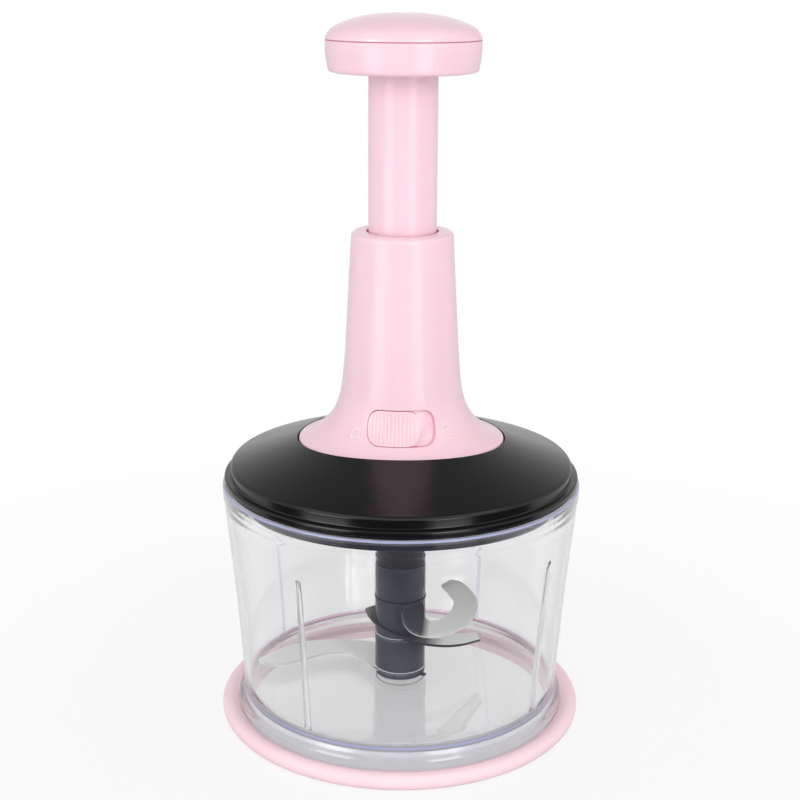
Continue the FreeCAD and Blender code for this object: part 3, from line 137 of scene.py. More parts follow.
# %% [markdown]
# ## Turning on a lathe
# Most of the chopper is round, so most of it is made as a turner would: a
# closed outline is spun about the axis. The last step of the spin lands on the
# first, so doubles are merged, and the normals are made to face out again.

# %% Lathe helpers
SPIN_STEPS = 192
BAR_STEPS = 96


def drawn_outline(points, closed=True):
    """A bmesh that holds an outline standing on the X axis."""
    bm = bmesh.new()
    corners = [bm.verts.new((r, 0, z)) for r, z in points]
    ends = corners[1:] + corners[:1] if closed else corners[1:]
    for a, b in zip(corners, ends):
        bm.edges.new((a, b))
    return bm


def welded(bm):
    bmesh.ops.remove_doubles(bm, verts=bm.verts, dist=WELD)
    bmesh.ops.recalc_face_normals(bm, faces=bm.faces)
    return bm


def turn_about(bm, angle, axis):
    """Turn a whole mesh about an axis through the origin."""
    bmesh.ops.rotate(bm, cent=(0, 0, 0), matrix=Matrix.Rotation(angle, 3, axis), verts=bm.verts)


def turned(points, closed=True, steps=SPIN_STEPS):
    """Spin an outline into a solid of revolution. An open outline starts and ends on the axis."""
    bm = drawn_outline(points, closed)
    bmesh.ops.spin(bm, geom=bm.verts[:] + bm.edges[:], cent=(0, 0, 0), axis=(0, 0, 1), angle=FULL_TURN,
                   steps=steps, use_merge=True)
    return welded(bm)


def joined(*parts):
    """Put several bmeshes into the first."""
    first = parts[0]
    for part in parts[1:]:
        carried = bpy.data.meshes.new("carried")
        part.to_mesh(carried)
        part.free()
        first.from_mesh(carried)
        bpy.data.meshes.remove(carried)
    return first


def round_bar(radius, bottom, top, edge=0.25, bore=0.0, steps=BAR_STEPS):
    """A turned bar with softened edges, or a tube when it has a bore."""
    tube = bore > 0
    corners = [(bore, bottom, edge), (radius, bottom, edge), (radius, top, edge), (bore, top, edge)]
    return turned(outline(corners, closed=tube), closed=tube, steps=steps)


# %% [markdown]
# ## From mesh to piece
# One function ends the work on every piece. It scales millimetres to metres, shades the faces smooth with
# real creases kept sharp, hangs the piece on an empty for the body it rides on, hides the imported nodes
# it stands for, and gives it its finishes.

# %% Finishing a piece
CREASE = math.radians(35)


def piece(bm, name, body, nodes, materials, crease=CREASE):
    """Make a bmesh into a finished object that rides on a body."""
    bmesh.ops.scale(bm, vec=(MM, MM, MM), verts=bm.verts)
    mesh = bpy.data.meshes.new(name)
    bm.to_mesh(mesh)
    bm.free()
    for material in materials:
        mesh.materials.append(material)
    mesh.shade_smooth()
    mesh.set_sharp_from_angle(angle=crease)
    thing = bpy.data.objects.new(name, mesh)
    bpy.context.scene.collection.objects.link(thing)
    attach(thing, body)
    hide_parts(*nodes)
    print(f"{name}: {len(mesh.polygons)} faces on {body}")
    return thing


# %% [markdown]
# ## Writing shaders as sums
# Shader nodes are easier to read as sums than as wires. A `Wire` wraps one
# output socket, and its operators add Math nodes. A `Board` is a node tree with
# one method that adds any other node by its type, its settings and its inputs.

# %% Wires and boards
class Wire:
    """One number that varies over a surface."""

    def __init__(self, tree, socket):
        self.tree = tree
        self.socket = socket

    def _math(self, operation, *values):
        node = self.tree.nodes.new("ShaderNodeMath")
        node.operation = operation
        for slot, value in zip(node.inputs, values):
            if isinstance(value, Wire):
                self.tree.links.new(value.socket, slot)
            else:
                slot.default_value = value
        return Wire(self.tree, node.outputs[0])

    def __add__(self, other):
        return self._math("ADD", self, other)

    def __radd__(self, other):
        return self._math("ADD", other, self)

    def __sub__(self, other):
        return self._math("SUBTRACT", self, other)

    def __rsub__(self, other):
        return self._math("SUBTRACT", other, self)

    def __mul__(self, other):
        return self._math("MULTIPLY", self, other)

    def __rmul__(self, other):
        return self._math("MULTIPLY", other, self)

    def __pow__(self, other):
        return self._math("POWER", self, other)

    def clipped(self):
        return self._math("MINIMUM", self._math("MAXIMUM", self, 0.0), 1.0)


class Board:
    """A node tree, and one method that adds any node to it."""

    def __init__(self, tree):
        self.tree = tree

    def node(self, kind, settings=None, **values):
        """Add a node of a type: its settings first, then values or links for its sockets."""
        node = self.tree.nodes.new("ShaderNode" + kind)
        for key, value in (settings or {}).items():
            setattr(node, key, value)
        for key, value in values.items():
            slot = node.inputs[int(key[1:])] if key[1:].isdigit() else node.inputs[key.replace("_", " ")]
            if isinstance(value, Wire):
                self.tree.links.new(value.socket, slot)
            elif isinstance(value, bpy.types.NodeSocket):
                self.tree.links.new(value, slot)
            else:
                slot.default_value = value
        return node

    def number(self, kind, output, settings=None, **values):
        """Add a node, and give one of its outputs as a number."""
        return Wire(self.tree, self.node(kind, settings, **values).outputs[output])

    def axes(self, vector):
        """The three numbers of a vector."""
        return [Wire(self.tree, part) for part in self.node("SeparateXYZ", _0=vector).outputs]

    def either(self, factor, first, second):
        """Blend two shaders by a number."""
        return self.node("MixShader", _0=factor, _1=first, _2=second).outputs[0]


# %% [markdown]
# ## Finishes
# A `Finish` is the board of one material, with its main shader. Its patterns
# lie in the object's own coordinates, so they stay on the piece when it moves.

# %% Finishes
class Finish(Board):
    """A material with one Principled shader and a few ways to vary it."""

    def __init__(self, name, **constants):
        self.material = bpy.data.materials.new(name)
        self.material.use_nodes = True
        super().__init__(self.material.node_tree)
        self.shader = self.tree.nodes["Principled BSDF"]
        for socket, value in constants.items():
            self.shader.inputs[socket.replace("_", " ")].default_value = value

    def place(self, scale=(1, 1, 1)):
        """Object coordinates, stretched by a scale."""
        spot = self.node("TexCoord").outputs["Object"]
        return self.node("Mapping", Vector=spot, Scale=scale).outputs["Vector"]

    def distance(self, scale=(1, 1, 1)):
        """How far a place is from the middle of the object."""
        return self.number("VectorMath", "Value", {"operation": "LENGTH"}, _0=self.place(scale))

    def noise(self, scale, detail=3.0, stretch=(1, 1, 1)):
        return self.number("TexNoise", "Fac", Vector=self.place(stretch), Scale=scale, Detail=detail,
                           Roughness=0.5)

    def mixed(self, factor, first, second):
        """Blend two colours by a number."""
        return self.node("Mix", {"data_type": "RGBA"}, _0=factor, _6=first, _7=second).outputs[2]

    def colour(self, socket):
        self.tree.links.new(socket, self.shader.inputs["Base Color"])

    def vary(self, name, wire):
        self.tree.links.new(wire.socket, self.shader.inputs[name])

    def bump(self, height, distance, strength=1.0):
        node = self.node("Bump", Height=height, Distance=distance, Strength=strength)
        self.tree.links.new(node.outputs["Normal"], self.shader.inputs["Normal"])

    def surface(self, shader):
        self.tree.links.new(shader, self.tree.nodes["Material Output"].inputs["Surface"])


def sample(red, green, blue):
    """A paint-chip colour, 0 to 255 as on a screen, as the linear colour that shaders use."""
    def linear(value):
        share = value / 255
        return share / 12.92 if share <= 0.04045 else ((share + 0.055) / 1.055) ** 2.4
    return (linear(red), linear(green), linear(blue), 1.0)


def deeper(tint, share):
    return tuple(part * share for part in tint[:3]) + (1.0,)


# %% [markdown]
# ## Pastel moulded plastic
# The knob, plunger and housing are one pale pink plastic with a soft satin skin. A single flat colour
# would look like paper, so the pink drifts a little from place to place, the roughness drifts too, and a
# very fine bump stands for the etched skin of the mould. The other pinks are the same plastic with painted
# light and shade: the lighter pinks are painted highlights on the ribs and marks, and the deeper pinks are
# painted shade in the grooves, the gap of the knob, the hole for the plunger and the sides of the window.

# %% Pastel plastic
GLOW = 0.25
GLOW_REACH = (0.004, 0.0012, 0.0016)
GRAIN = 2600.0
GRAIN_DEPTH = 0.000012


def moulded_plastic(name, light, deep, roughness):
    finish = Finish(name, IOR=1.5, Subsurface_Weight=GLOW, Subsurface_Radius=GLOW_REACH)
    clouds = finish.noise(28.0, 2.0)
    grain = finish.noise(GRAIN, 2.0)
    finish.colour(finish.mixed(clouds, sample(*deep), sample(*light)))
    finish.vary("Roughness", roughness + (clouds - 0.5) * 0.08 + (grain - 0.5) * 0.06)
    finish.bump(grain, GRAIN_DEPTH, 0.2)
    return finish.material


pink_plastic = moulded_plastic("pink_plastic", (241, 208, 218), (239, 204, 215), 0.2)
slider_plastic = moulded_plastic("slider_plastic", (241, 210, 217), (239, 206, 213), 0.3)
# Painted shade and painted highlights: the two deep pinks and the groove pink are painted shade, and the
# rib and mark pinks are painted highlights.
pink_painted_shade = moulded_plastic("pink_painted_shade", (224, 140, 164), (214, 128, 152), 0.45)
pink_painted_half_shade = moulded_plastic("pink_painted_half_shade", (236, 178, 195), (230, 168, 186), 0.4)
rib_painted_highlight = moulded_plastic("rib_painted_highlight", (246, 217, 224), (244, 213, 221), 0.3)
groove_painted_shade = moulded_plastic("groove_painted_shade", (238, 203, 211), (235, 199, 207), 0.35)
mark_painted_highlight = moulded_plastic("mark_painted_highlight", (248, 222, 229), (245, 217, 225), 0.3)

# %% [markdown]
# ## Soft ring and seal
# The ring under the bowl is silicone: paler than the plastic, more matt, and
# slightly milky. A little subsurface light gives the milkiness, and faint
# clouds in the roughness keep it from looking like paint.

# %% Silicone
def silicone(name, light, deep, milk_and_painted_sheen):
    finish = Finish(name, IOR=1.43, Subsurface_Weight=milk_and_painted_sheen, Subsurface_Radius=(0.004, 0.002, 0.002))
    handled = finish.noise(60.0, 4.0)
    fine = finish.noise(1500.0, 3.0)
    finish.colour(finish.mixed(handled, sample(*deep), sample(*light)))
    finish.vary("Roughness", 0.44 + handled * 0.16)
    finish.bump(fine, 0.00002, 0.5)
    return finish.material


ring_silicone = silicone("ring_silicone", (250, 219, 226), (247, 214, 222), 0.15)
seal_silicone = silicone("seal_silicone", (96, 98, 106), (86, 88, 96), 0.05)

# %% [markdown]
# ## Clear shell
# The bowl is thick clear plastic. Its look comes from refraction through real walls, so the shader only
# has to be nearly white and nearly smooth. Faint waves in the wall bend what is seen through it, as
# moulding does. Where the wall is seen at a grazing angle, a share of it is a white diffuse layer, a
# painted pale sheen, and more so at the rim, where the plastic is thick.

# %% Clear plastic
CLEAR_TINT = (0.985, 0.986, 0.990, 1.0)
CLEAR_IOR = 1.49
PAINTED_SHEEN_TINT = (0.9, 0.9, 0.915, 1.0)


def clear_plastic(name, sheen_power, sheen_share):
    """Clear at a straight look, with a painted pale sheen at grazing angles. The higher the power, the
    closer the sheen keeps to the edge.
    """
    finish = Finish(name, Base_Color=CLEAR_TINT, Transmission_Weight=1.0, IOR=CLEAR_IOR)
    waves = finish.noise(35.0, 1.0)
    rubbed = finish.noise(900.0, 3.0, stretch=(1, 1, 0.12))
    finish.vary("Roughness", 0.012 + rubbed ** 3.0 * 0.05)
    finish.bump(waves, 0.00025, 0.05)
    # A white diffuse layer at grazing angles: a painted pale sheen.
    milk_and_painted_sheen = finish.node("BsdfPrincipled", Base_Color=PAINTED_SHEEN_TINT, Roughness=0.5)
    grazing = finish.number("LayerWeight", "Facing", Blend=0.5)
    share = grazing ** sheen_power * sheen_share
    finish.surface(finish.either(share, finish.shader.outputs[0], milk_and_painted_sheen.outputs[0]))
    return finish.material


clear_shell = clear_plastic("clear_shell", 5.0, 0.7)
clear_rim = clear_plastic("clear_rim", 2.2, 0.75)

# %% [markdown]
# ## Lit edges
# Light that runs along inside the wall comes out where the wall ends, so the rim, the foot and the ribs
# look milky or bluish. Tracing that light would take very long, so these edges are part clear and part
# coloured, and the colour is painted light. The front of the foot is a darker grey, which is painted
# shade. Some of them look different in front and at the back, where a painted pink light stands for the
# ring behind them. Those blend two looks over the middle of the bowl.

# %% Lit edges
# Looks of painted light: a lit blue, a pink for the ring behind, and a pale grey. The foot's darker grey
# is painted shade.
LIT = ((0.58, 0.61, 0.91, 1.0), 0.4, 0.12)
PAINTED_RING_PINK = ((0.93, 0.76, 0.86, 1.0), 0.6, 0.12)
PAINTED_GREY = ((0.74, 0.74, 0.80, 1.0), 0.6, 0.1)
PAINTED_FOOT_SHADE = ((0.80, 0.80, 0.83, 1.0), 0.92, 0.04)
CLEAR = (CLEAR_TINT, 1.0, 0.02)
FRONT_TO_BACK = 9.0


def lit_plastic(name, tint, weight, roughness):
    """One look all round: a tint, the share of light that goes through, and a roughness."""
    finish = Finish(name, Transmission_Weight=weight, IOR=CLEAR_IOR)
    clouds = finish.noise(40.0, 2.0)
    fine = finish.noise(800.0, 3.0)
    finish.colour(finish.mixed(clouds, deeper(tint, 0.9), tint))
    finish.vary("Roughness", roughness + fine * 0.1)
    finish.bump(fine, 0.00001, 0.4)
    return finish.material


def turning_plastic(name, front, back):
    """One look in front and another at the back, blended over the middle of the bowl."""
    tint, weight, roughness = front
    finish = Finish(name, Transmission_Weight=weight, IOR=CLEAR_IOR)
    fine = finish.noise(800.0, 3.0)
    finish.colour(finish.mixed(fine, deeper(tint, 0.95), tint))
    finish.vary("Roughness", roughness + fine * 0.08)
    tint, weight, roughness = back
    rear = finish.node("BsdfPrincipled", Base_Color=tint, Transmission_Weight=weight, IOR=CLEAR_IOR,
                       Roughness=roughness)
    depth = finish.axes(finish.place())[1]
    towards_back = (0.5 + depth * FRONT_TO_BACK).clipped()
    finish.surface(finish.either(towards_back, finish.shader.outputs[0], rear.outputs[0]))
    return finish.material


lit_edge = lit_plastic("lit_edge", *LIT)
lit_line = turning_plastic("lit_line", LIT, PAINTED_RING_PINK)
floor_corner = turning_plastic("floor_corner", CLEAR, PAINTED_RING_PINK)
painted_grey_edge = turning_plastic("painted_grey_edge", PAINTED_GREY, CLEAR)
foot_painted_shade = turning_plastic("foot_painted_shade", PAINTED_FOOT_SHADE, CLEAR)
rib_painted_light = lit_plastic("rib_painted_light", (0.95, 0.95, 0.97, 1.0), 0.6, 0.16)
back_rib_painted_light = lit_plastic("back_rib_painted_light", (0.82, 0.88, 0.98, 1.0), 0.75, 0.2)

# %% [markdown]
# ## Dark plastics
# The lid is glossy black, the part of it that reaches into the bowl is a dark
# slate, and the hub is charcoal. All three show fine rubbing, which is a
# roughness that changes over a few millimetres.

# %% Dark plastics
def dark_plastic(name, light, deep, gloss, spread, shine=0.5):
    finish = Finish(name, IOR=1.5, Specular_IOR_Level=shine)
    rubbed = finish.noise(180.0, 4.0)
    scuffs = finish.noise(700.0, 2.0, stretch=(1, 1, 6))
    finish.colour(finish.mixed(rubbed, sample(*deep), sample(*light)))
    finish.vary("Roughness", gloss + rubbed * spread + scuffs ** 4.0 * spread)
    finish.bump(scuffs, 0.000006, 0.2)
    return finish.material


black_lid = dark_plastic("black_lid", (10, 10, 12), (6, 6, 8), 0.15, 0.07)
slate_plastic = dark_plastic("slate_plastic", (37, 39, 48), (32, 34, 43), 0.30, 0.12, shine=0.3)
charcoal_plastic = dark_plastic("charcoal_plastic", (65, 67, 78), (56, 58, 68), 0.16, 0.12, shine=0.4)

# %% [markdown]
# ## Steels
# The blades are satin sheet steel with grind lines that run one way. The lines are noise that is stretched
# many times along one axis. The satin is so fine that it scatters light like paint, so only a part of it
# is metal to the shader. Close to the axis the sheet mirrors the dark hub. A mirror that is part paint
# can't show that, so those finishes darken towards the axis, which is a painted reflection of the hub. The
# sides of the clamping rings and the upright edges of the middle blade are a dark steel, which is a
# painted dark reflection. Screws, springs and the drive rod are a brighter, rounder steel.

# %% Steels
FLAT_LINES = (0.06, 1, 1)
EDGE_LINES = (1, 1, 0.08)
WIRE_LINES = (1, 1, 0.05)
HUB_SHADE = (52, 54, 64)
HUB_SHADE_SHARE = 0.95


def ground_steel(name, light, deep, roughness=0.42, stretch=FLAT_LINES, line_depth=0.00001, metal=0.05,
                 shade=None):
    """A shade is where the darkening ends, how wide its edge is, and how much depth counts."""
    finish = Finish(name, Metallic=metal)
    lines = finish.noise(900.0, 3.0, stretch=stretch)
    smudge = finish.noise(45.0, 3.0)
    steel = finish.mixed((lines * 0.6 + smudge * 0.4).clipped(), sample(*deep), sample(*light))
    # Painted reflection of the dark hub: the colour darkens towards the axis.
    if shade:
        end, width, depth = shade
        near = ((end - finish.distance((1, depth, 0))) * (1 / width)).clipped()
        steel = finish.mixed(near * HUB_SHADE_SHARE, steel, sample(*HUB_SHADE))
    finish.colour(steel)
    finish.vary("Roughness", roughness + lines * 0.10 + smudge * 0.08)
    finish.bump(lines, line_depth, 0.5)
    return finish.material


BROAD_SHADE = (0.0195, 0.007, 0.45)
CLOSE_SHADE = (0.0135, 0.003, 0.2)
blade_steel = ground_steel("blade_steel", (252, 252, 249), (243, 244, 241))
shaded_steel = ground_steel("shaded_steel", (250, 250, 247), (240, 241, 238), shade=BROAD_SHADE)
hook_steel = ground_steel("hook_steel", (248, 248, 245), (238, 239, 236), shade=CLOSE_SHADE)
grind_steel = ground_steel("grind_steel", (214, 214, 212), (200, 201, 199), 0.36, EDGE_LINES, 0.00002,
                           metal=0.1, shade=CLOSE_SHADE)
bevel_steel = ground_steel("bevel_steel", (240, 240, 238), (226, 227, 225), 0.36, EDGE_LINES, 0.00002,
                           metal=0.25)
painted_dark_steel = ground_steel("painted_dark_steel", (74, 75, 82), (58, 59, 66), 0.3, EDGE_LINES, metal=0.6)
bright_steel = ground_steel("bright_steel", (205, 206, 208), (176, 178, 182), 0.22, WIRE_LINES, metal=1.0)

# %% [markdown]
# ## Bearing plastic
# The bushes, washers and drive wheels are white acetal, a waxy plastic. It is
# slightly yellow, and a little subsurface light makes it look waxy.

# %% Acetal
white_finish = Finish("white_acetal", IOR=1.48, Subsurface_Weight=0.1)
worn = white_finish.noise(220.0, 4.0)
white_finish.colour(white_finish.mixed(worn, sample(226, 224, 218), sample(240, 239, 235)))
white_finish.vary("Roughness", 0.35 + worn * 0.15)
white_acetal = white_finish.material
print("finishes made:", len(bpy.data.materials))

# %% [markdown]
# ## Bowl
# The bowl is moulded as one clear piece: a tapered wall, a raised floor with a
# hollow foot and a shallow pad under it, and a thick bead at the rim. Ribs could
# be added as bars pushed into the wall, but one skin that rises into ribs bends
# light as real plastic does. So the outline is turned in eight spans, and four
# short ones are cut finely enough for a rib to stand up from the wall.

# %% Outline of the bowl
BOWL_SIDE = [(70, 20), (72.6, 56), (76.8, 100.5)]
BOWL_WALL = 2.2
FLOOR_TOP = 15
FLOOR_REACH = 67.8
FLOOR_UNDER = 12.4
PAD_UNDER = 11.9
RIM_RADIUS = 77.4
RIM_TOP = high("bowl").z
outer_side = smooth_run(BOWL_SIDE, steps=20)
inner_side = [(r - BOWL_WALL, z) for r, z in outer_side]


def bowl_outline():
    """Up the inside from the axis, over the rim, down the outside, and back in under the floor."""
    foot = smooth_run([(70.1, 13.2), (70.7, 12.0), (72.2, 9.6), (72.8, 6.3)])
    under = smooth_run([(70.6, 6.3), (69.9, 9.2), (68.5, FLOOR_UNDER)])
    return outline([
        (0, FLOOR_TOP), (FLOOR_REACH, FLOOR_TOP, 1.6), *inner_side,
        (75.0, 101.5), (75.0, RIM_TOP, 0.8), (RIM_RADIUS, RIM_TOP, 0.8), (RIM_RADIUS, 103.7, 0.5),
        *outer_side[::-1], (70, 17.4), (70, 15.2), (70, 14.0), *foot, (72.8, 1.6, 0.3), (70.6, 1.6, 0.3),
        *under, (10.8, FLOOR_UNDER, 0.5), (10.4, PAD_UNDER, 0.3), (0, PAD_UNDER)], closed=False)


def wall_inside(z):
    """Radius of the inside of the wall, read from the drawn outline."""
    run = [(FLOOR_REACH, 0.0), *inner_side]
    for (r0, z0), (r1, z1) in zip(run, run[1:]):
        if z0 <= z <= z1:
            return r0 + (r1 - r0) * (z - z0) / (z1 - z0)
    return 0.0


# %% Ribs of the bowl
RIB_FIRST = math.radians(-124)
RIB_SPAN = math.radians(3.0)
RIB_STEPS = 16
WALL_STEPS = 44
RIB_DEPTH = 1.3
RIB_HALF_TOP = 0.5
RIB_HALF_FOOT = 1.25
RIB_SIDE = 0.7
RIB_LOW = 15.4
RIB_TOP = 84.0
RIB_END = 1.5
RIB_CATCH = 0.4
INNER_REACH = 66
BACK_RIB_SHARE = 0.12


def rib_turn(x, y):
    """How far round a place is from the middle of the nearest rib."""
    return (math.atan2(y, x) - RIB_FIRST + QUARTER / 2) % QUARTER - QUARTER / 2


def rib_height(offset, z):
    """How far a rib stands out, from the arc away from its middle and the height."""
    side = min(max((RIB_HALF_FOOT + RIB_SIDE / 2 - abs(offset)) / RIB_SIDE, 0.0), 1.0)
    end = min(max((RIB_TOP - z) / RIB_END, 0.0), 1.0)
    return RIB_DEPTH * side * side * (3 - 2 * side) * math.sqrt(end)


def drawn_in(turn, z):
    """Draw the columns of a rib towards its middle as it rises, so that it tapers with straight edges."""
    climbed = (z - RIB_LOW) / (RIB_TOP - RIB_LOW)
    narrow = 1 + (RIB_HALF_TOP / RIB_HALF_FOOT - 1) * climbed
    outward = min(abs(turn) / (RIB_SPAN / 2), 1.0) ** 3
    return turn * (narrow + (1 - narrow) * outward)


def bowl_mesh():
    bm = drawn_outline(bowl_outline(), closed=False)
    turn_about(bm, RIB_FIRST - RIB_SPAN / 2, "Z")
    edge = bm.verts[:] + bm.edges[:]
    for angle, steps in 4 * ((RIB_SPAN, RIB_STEPS), (QUARTER - RIB_SPAN, WALL_STEPS)):
        span = bmesh.ops.spin(bm, geom=edge, cent=(0, 0, 0), axis=(0, 0, 1), angle=angle, steps=steps)
        edge = span["geom_last"]
    for vert in bm.verts:
        x, y, z = vert.co
        reach = math.hypot(x, y)
        if RIB_LOW < z < RIB_TOP and INNER_REACH < reach < wall_inside(z) + RIB_CATCH:
            turn = rib_turn(x, y)
            share = 1.0 if y < 0 else BACK_RIB_SHARE
            angle = math.atan2(y, x) + drawn_in(turn, z) - turn
            inner = reach - share * rib_height(turn * reach, z)
            vert.co = (inner * math.cos(angle), inner * math.sin(angle), z)
    return welded(bm)


# %% [markdown]
# ## Zones of the bowl
# A skin in one piece still needs several finishes. Each zone is a band between
# two radii and two heights, and a face takes the first zone that its middle is
# in. The wall of the bowl casts no shadow: refracted light doesn't reach back
# to a lamp, so a clear wall with a shadow would leave its inside dark.

# %% Bowl
# Most zones carry painted light; the front of the foot carries painted shade.
bowl_finishes = [clear_shell, lit_edge, rib_painted_light, painted_grey_edge, foot_painted_shade, lit_line, back_rib_painted_light, clear_rim,
                 floor_corner]
BOWL_ZONES = [
    (lit_edge, 76.5, 80, 107.6, 120),
    (floor_corner, INNER_REACH, 68.2, 15.02, 17),
    (lit_line, 69.6, 80, 13.9, 15.3),
    (painted_grey_edge, 69.6, 80, 11.8, 17.4),
    (foot_painted_shade, 65, 80, 0, 12.0),
]
RIM_LOW = 97
PIN_RADIUS = 2.5
PIN_LOW = 12.6
PIN_TOP = 34


def bowl_finish(spot):
    """The finish of a face of the bowl, by the place of its middle."""
    reach = spot.xy.length
    wall = wall_inside(spot.z)
    for finish, near, far, bottom, top in BOWL_ZONES:
        if near < reach < far and bottom < spot.z < top:
            return finish
    if spot.z > RIM_LOW and reach > wall + 0.5:
        return clear_rim
    beside_rib = abs(rib_turn(spot.x, spot.y)) < RIB_SPAN / 2
    if RIB_LOW < spot.z < RIB_TOP and reach < wall - 0.1 and beside_rib:
        # The ribs are painted light: white in front, pale blue at the back.
        return rib_painted_light if spot.y < 0 else back_rib_painted_light
    return clear_shell


bowl_skin = bowl_mesh()
for face in bowl_skin.faces:
    face.material_index = bowl_finishes.index(bowl_finish(face.calc_center_median()))
bowl = piece(bowl_skin, "bowl_shell", "bowl_base", ["bowl"], bowl_finishes)
bowl.visible_shadow = False
piece(round_bar(PIN_RADIUS, PIN_LOW, PIN_TOP, edge=0.5), "pivot_pin_turned", "bowl_base", ["pivot_pin"],
      [bright_steel])

# %% [markdown]
# ## Soft ring
# A silicone ring is stretched over the foot. Its top is a low round bead that
# tucks under the bowl, and its outline is the whole shape.

# %% Soft ring
ring_top = smooth_run([(72.8, 6.3), (74, 6.9), (76.4, 7.5), (79.1, 6.6), (80, 4.2), (79.28, 1.8),
                       (77.4, 0.22), (76, 0)], steps=5)
ring_outline = outline([(69.4, 0, 0.4), (69.4, 3.7, 0.4), (70.6, 3.7), (70.6, 1.6), (72.8, 1.6),
                        *ring_top])
piece(turned(ring_outline), "soft_ring", "bowl_base", ["base_ring"], [ring_silicone])

# %% [markdown]
# ## Hub
# The hub is a stack of moulded sleeves with the three blade rings between them.
# Each sleeve is a turned tube with softened edges, so that the joints catch a
# thin line of light. The foot has a small peg, which starts as a block with
# every edge rounded.

# %% Hub
HUB_RADIUS = 11.2
HUB_BORE = 8.65
SLEEVE_EDGE = 0.3
PEG_SIZE = (3.4, 2, 1)
PEG_EDGE = 0.25
PEG_TURN = math.radians(-30)
PEG_PROUD = 0.3
FOOT_LOW = low("hub_foot").z
peg = bmesh.new()
bmesh.ops.create_cube(peg, size=1)
bmesh.ops.scale(peg, vec=PEG_SIZE, verts=peg.verts)
bmesh.ops.bevel(peg, geom=peg.edges[:], offset=PEG_EDGE, segments=3, profile=0.5, affect="EDGES",
                material=-1)
bmesh.ops.translate(peg, vec=(HUB_RADIUS + PEG_PROUD, 0, FOOT_LOW + PEG_SIZE[2] / 2), verts=peg.verts)
turn_about(peg, PEG_TURN, "Z")
foot_bar = round_bar(HUB_RADIUS, FOOT_LOW, high("hub_foot").z, bore=HUB_BORE)
piece(joined(foot_bar, peg), "hub_foot_turned", "blade_rotor", ["hub_foot"],
      [charcoal_plastic])
for node in ("lower_spacer", "middle_spacer", "hub_sleeve"):
    sleeve = round_bar(HUB_RADIUS, low(node).z, high(node).z, edge=SLEEVE_EDGE, bore=HUB_BORE)
    piece(sleeve, node + "_turned", "blade_rotor", [node], [charcoal_plastic])

# %% [markdown]
# ## Blades
# Each blade is cut from sheet steel, ground along its cutting edge, and tilted
# before it is clamped in the hub. The plan is drawn as a few smooth runs. The
# sheet is extruded from it in two steps, and after the second step the points
# on the cutting side move in by the width of the grind, which makes the bevel.

# %% Blades
SHEET = 1.2
RING_RADIUS = 11.5
GRIND_DROP = 0.75
FINE = 10
UPRIGHT = 0.05
LEVEL = 0.985


def leaf_mesh(runs, ground, grind):
    """Sheet steel cut to a plan of runs, with a ground bevel along the runs whose numbers are given."""
    drawn = [smooth_run(run, FINE) if len(run) > 2 else run for run in runs]
    plan = [Vector(point) for run in drawn for point in run[:-1]]
    cut = [k in ground for k, run in enumerate(drawn) for _ in run[:-1]]
    bm = bmesh.new()
    under = bm.faces.new([bm.verts.new((p.x, p.y, 0)) for p in plan])
    top = [under]
    for rise in (SHEET - GRIND_DROP, GRIND_DROP):
        grown = bmesh.ops.extrude_face_region(bm, geom=top)["geom"]
        if under not in top:
            bmesh.ops.delete(bm, geom=top, context="FACES_ONLY")
        upper = [v for v in grown if isinstance(v, bmesh.types.BMVert)]
        top = [f for f in grown if isinstance(f, bmesh.types.BMFace)]
        bmesh.ops.translate(bm, vec=(0, 0, rise), verts=upper)
    for vert in upper:
        k = min(range(len(plan)), key=lambda n: (vert.co.xy - plan[n]).length)
        if cut[k]:
            along = (plan[(k + 1) % len(plan)] - plan[k - 1]).normalized()
            vert.co.x -= along.y * grind
            vert.co.y += along.x * grind
    bmesh.ops.recalc_face_normals(bm, faces=bm.faces)
    bm.normal_update()
    for face in bm.faces:
        if abs(face.normal.z) < UPRIGHT:
            face.material_index = 1
        elif face.normal.z < LEVEL and len(face.verts) == 4:
            face.material_index = 2
    wide = [f for f in bm.faces if len(f.verts) > 4]
    bmesh.ops.triangulate(bm, faces=wide, ngon_method="EAR_CLIP")
    return bm


def blade(name, runs, reach, ground, grind, leaf_z, ring_z, finishes, tilt=0.0, axis="X"):
    """A leaf that is scaled to its reach, tilted and raised, with its clamping ring."""
    leaf = leaf_mesh([[(x * reach, y * reach) for x, y in run] for run in runs], ground, grind)
    turn_about(leaf, tilt, axis)
    bmesh.ops.translate(leaf, vec=(0, 0, leaf_z), verts=leaf.verts)
    clamp = round_bar(RING_RADIUS, ring_z, ring_z + SHEET, edge=0.3, bore=HUB_BORE)
    # The side of each ring takes the fourth finish and its flats the fifth; the dark steel in these places
    # is a painted reflection.
    for face in clamp.faces:
        face.material_index = 3 if abs(face.normal.z) < 0.3 else 4
    piece(joined(leaf, clamp), name + "_blade_ground", "blade_rotor", [name + "_blade"],
          finishes, crease=math.radians(20))


# %% [markdown]
# ## Plans of the blades
# The runs are given as shares of the blade's reach, from the heel at the hub
# out to the tip and back. The low blade is a long sickle, the middle one a
# shallow wing, and the upper one a hook. The finishes are those of the leaf's
# flat, its edges and its bevel, and then the side and the flat of its ring.

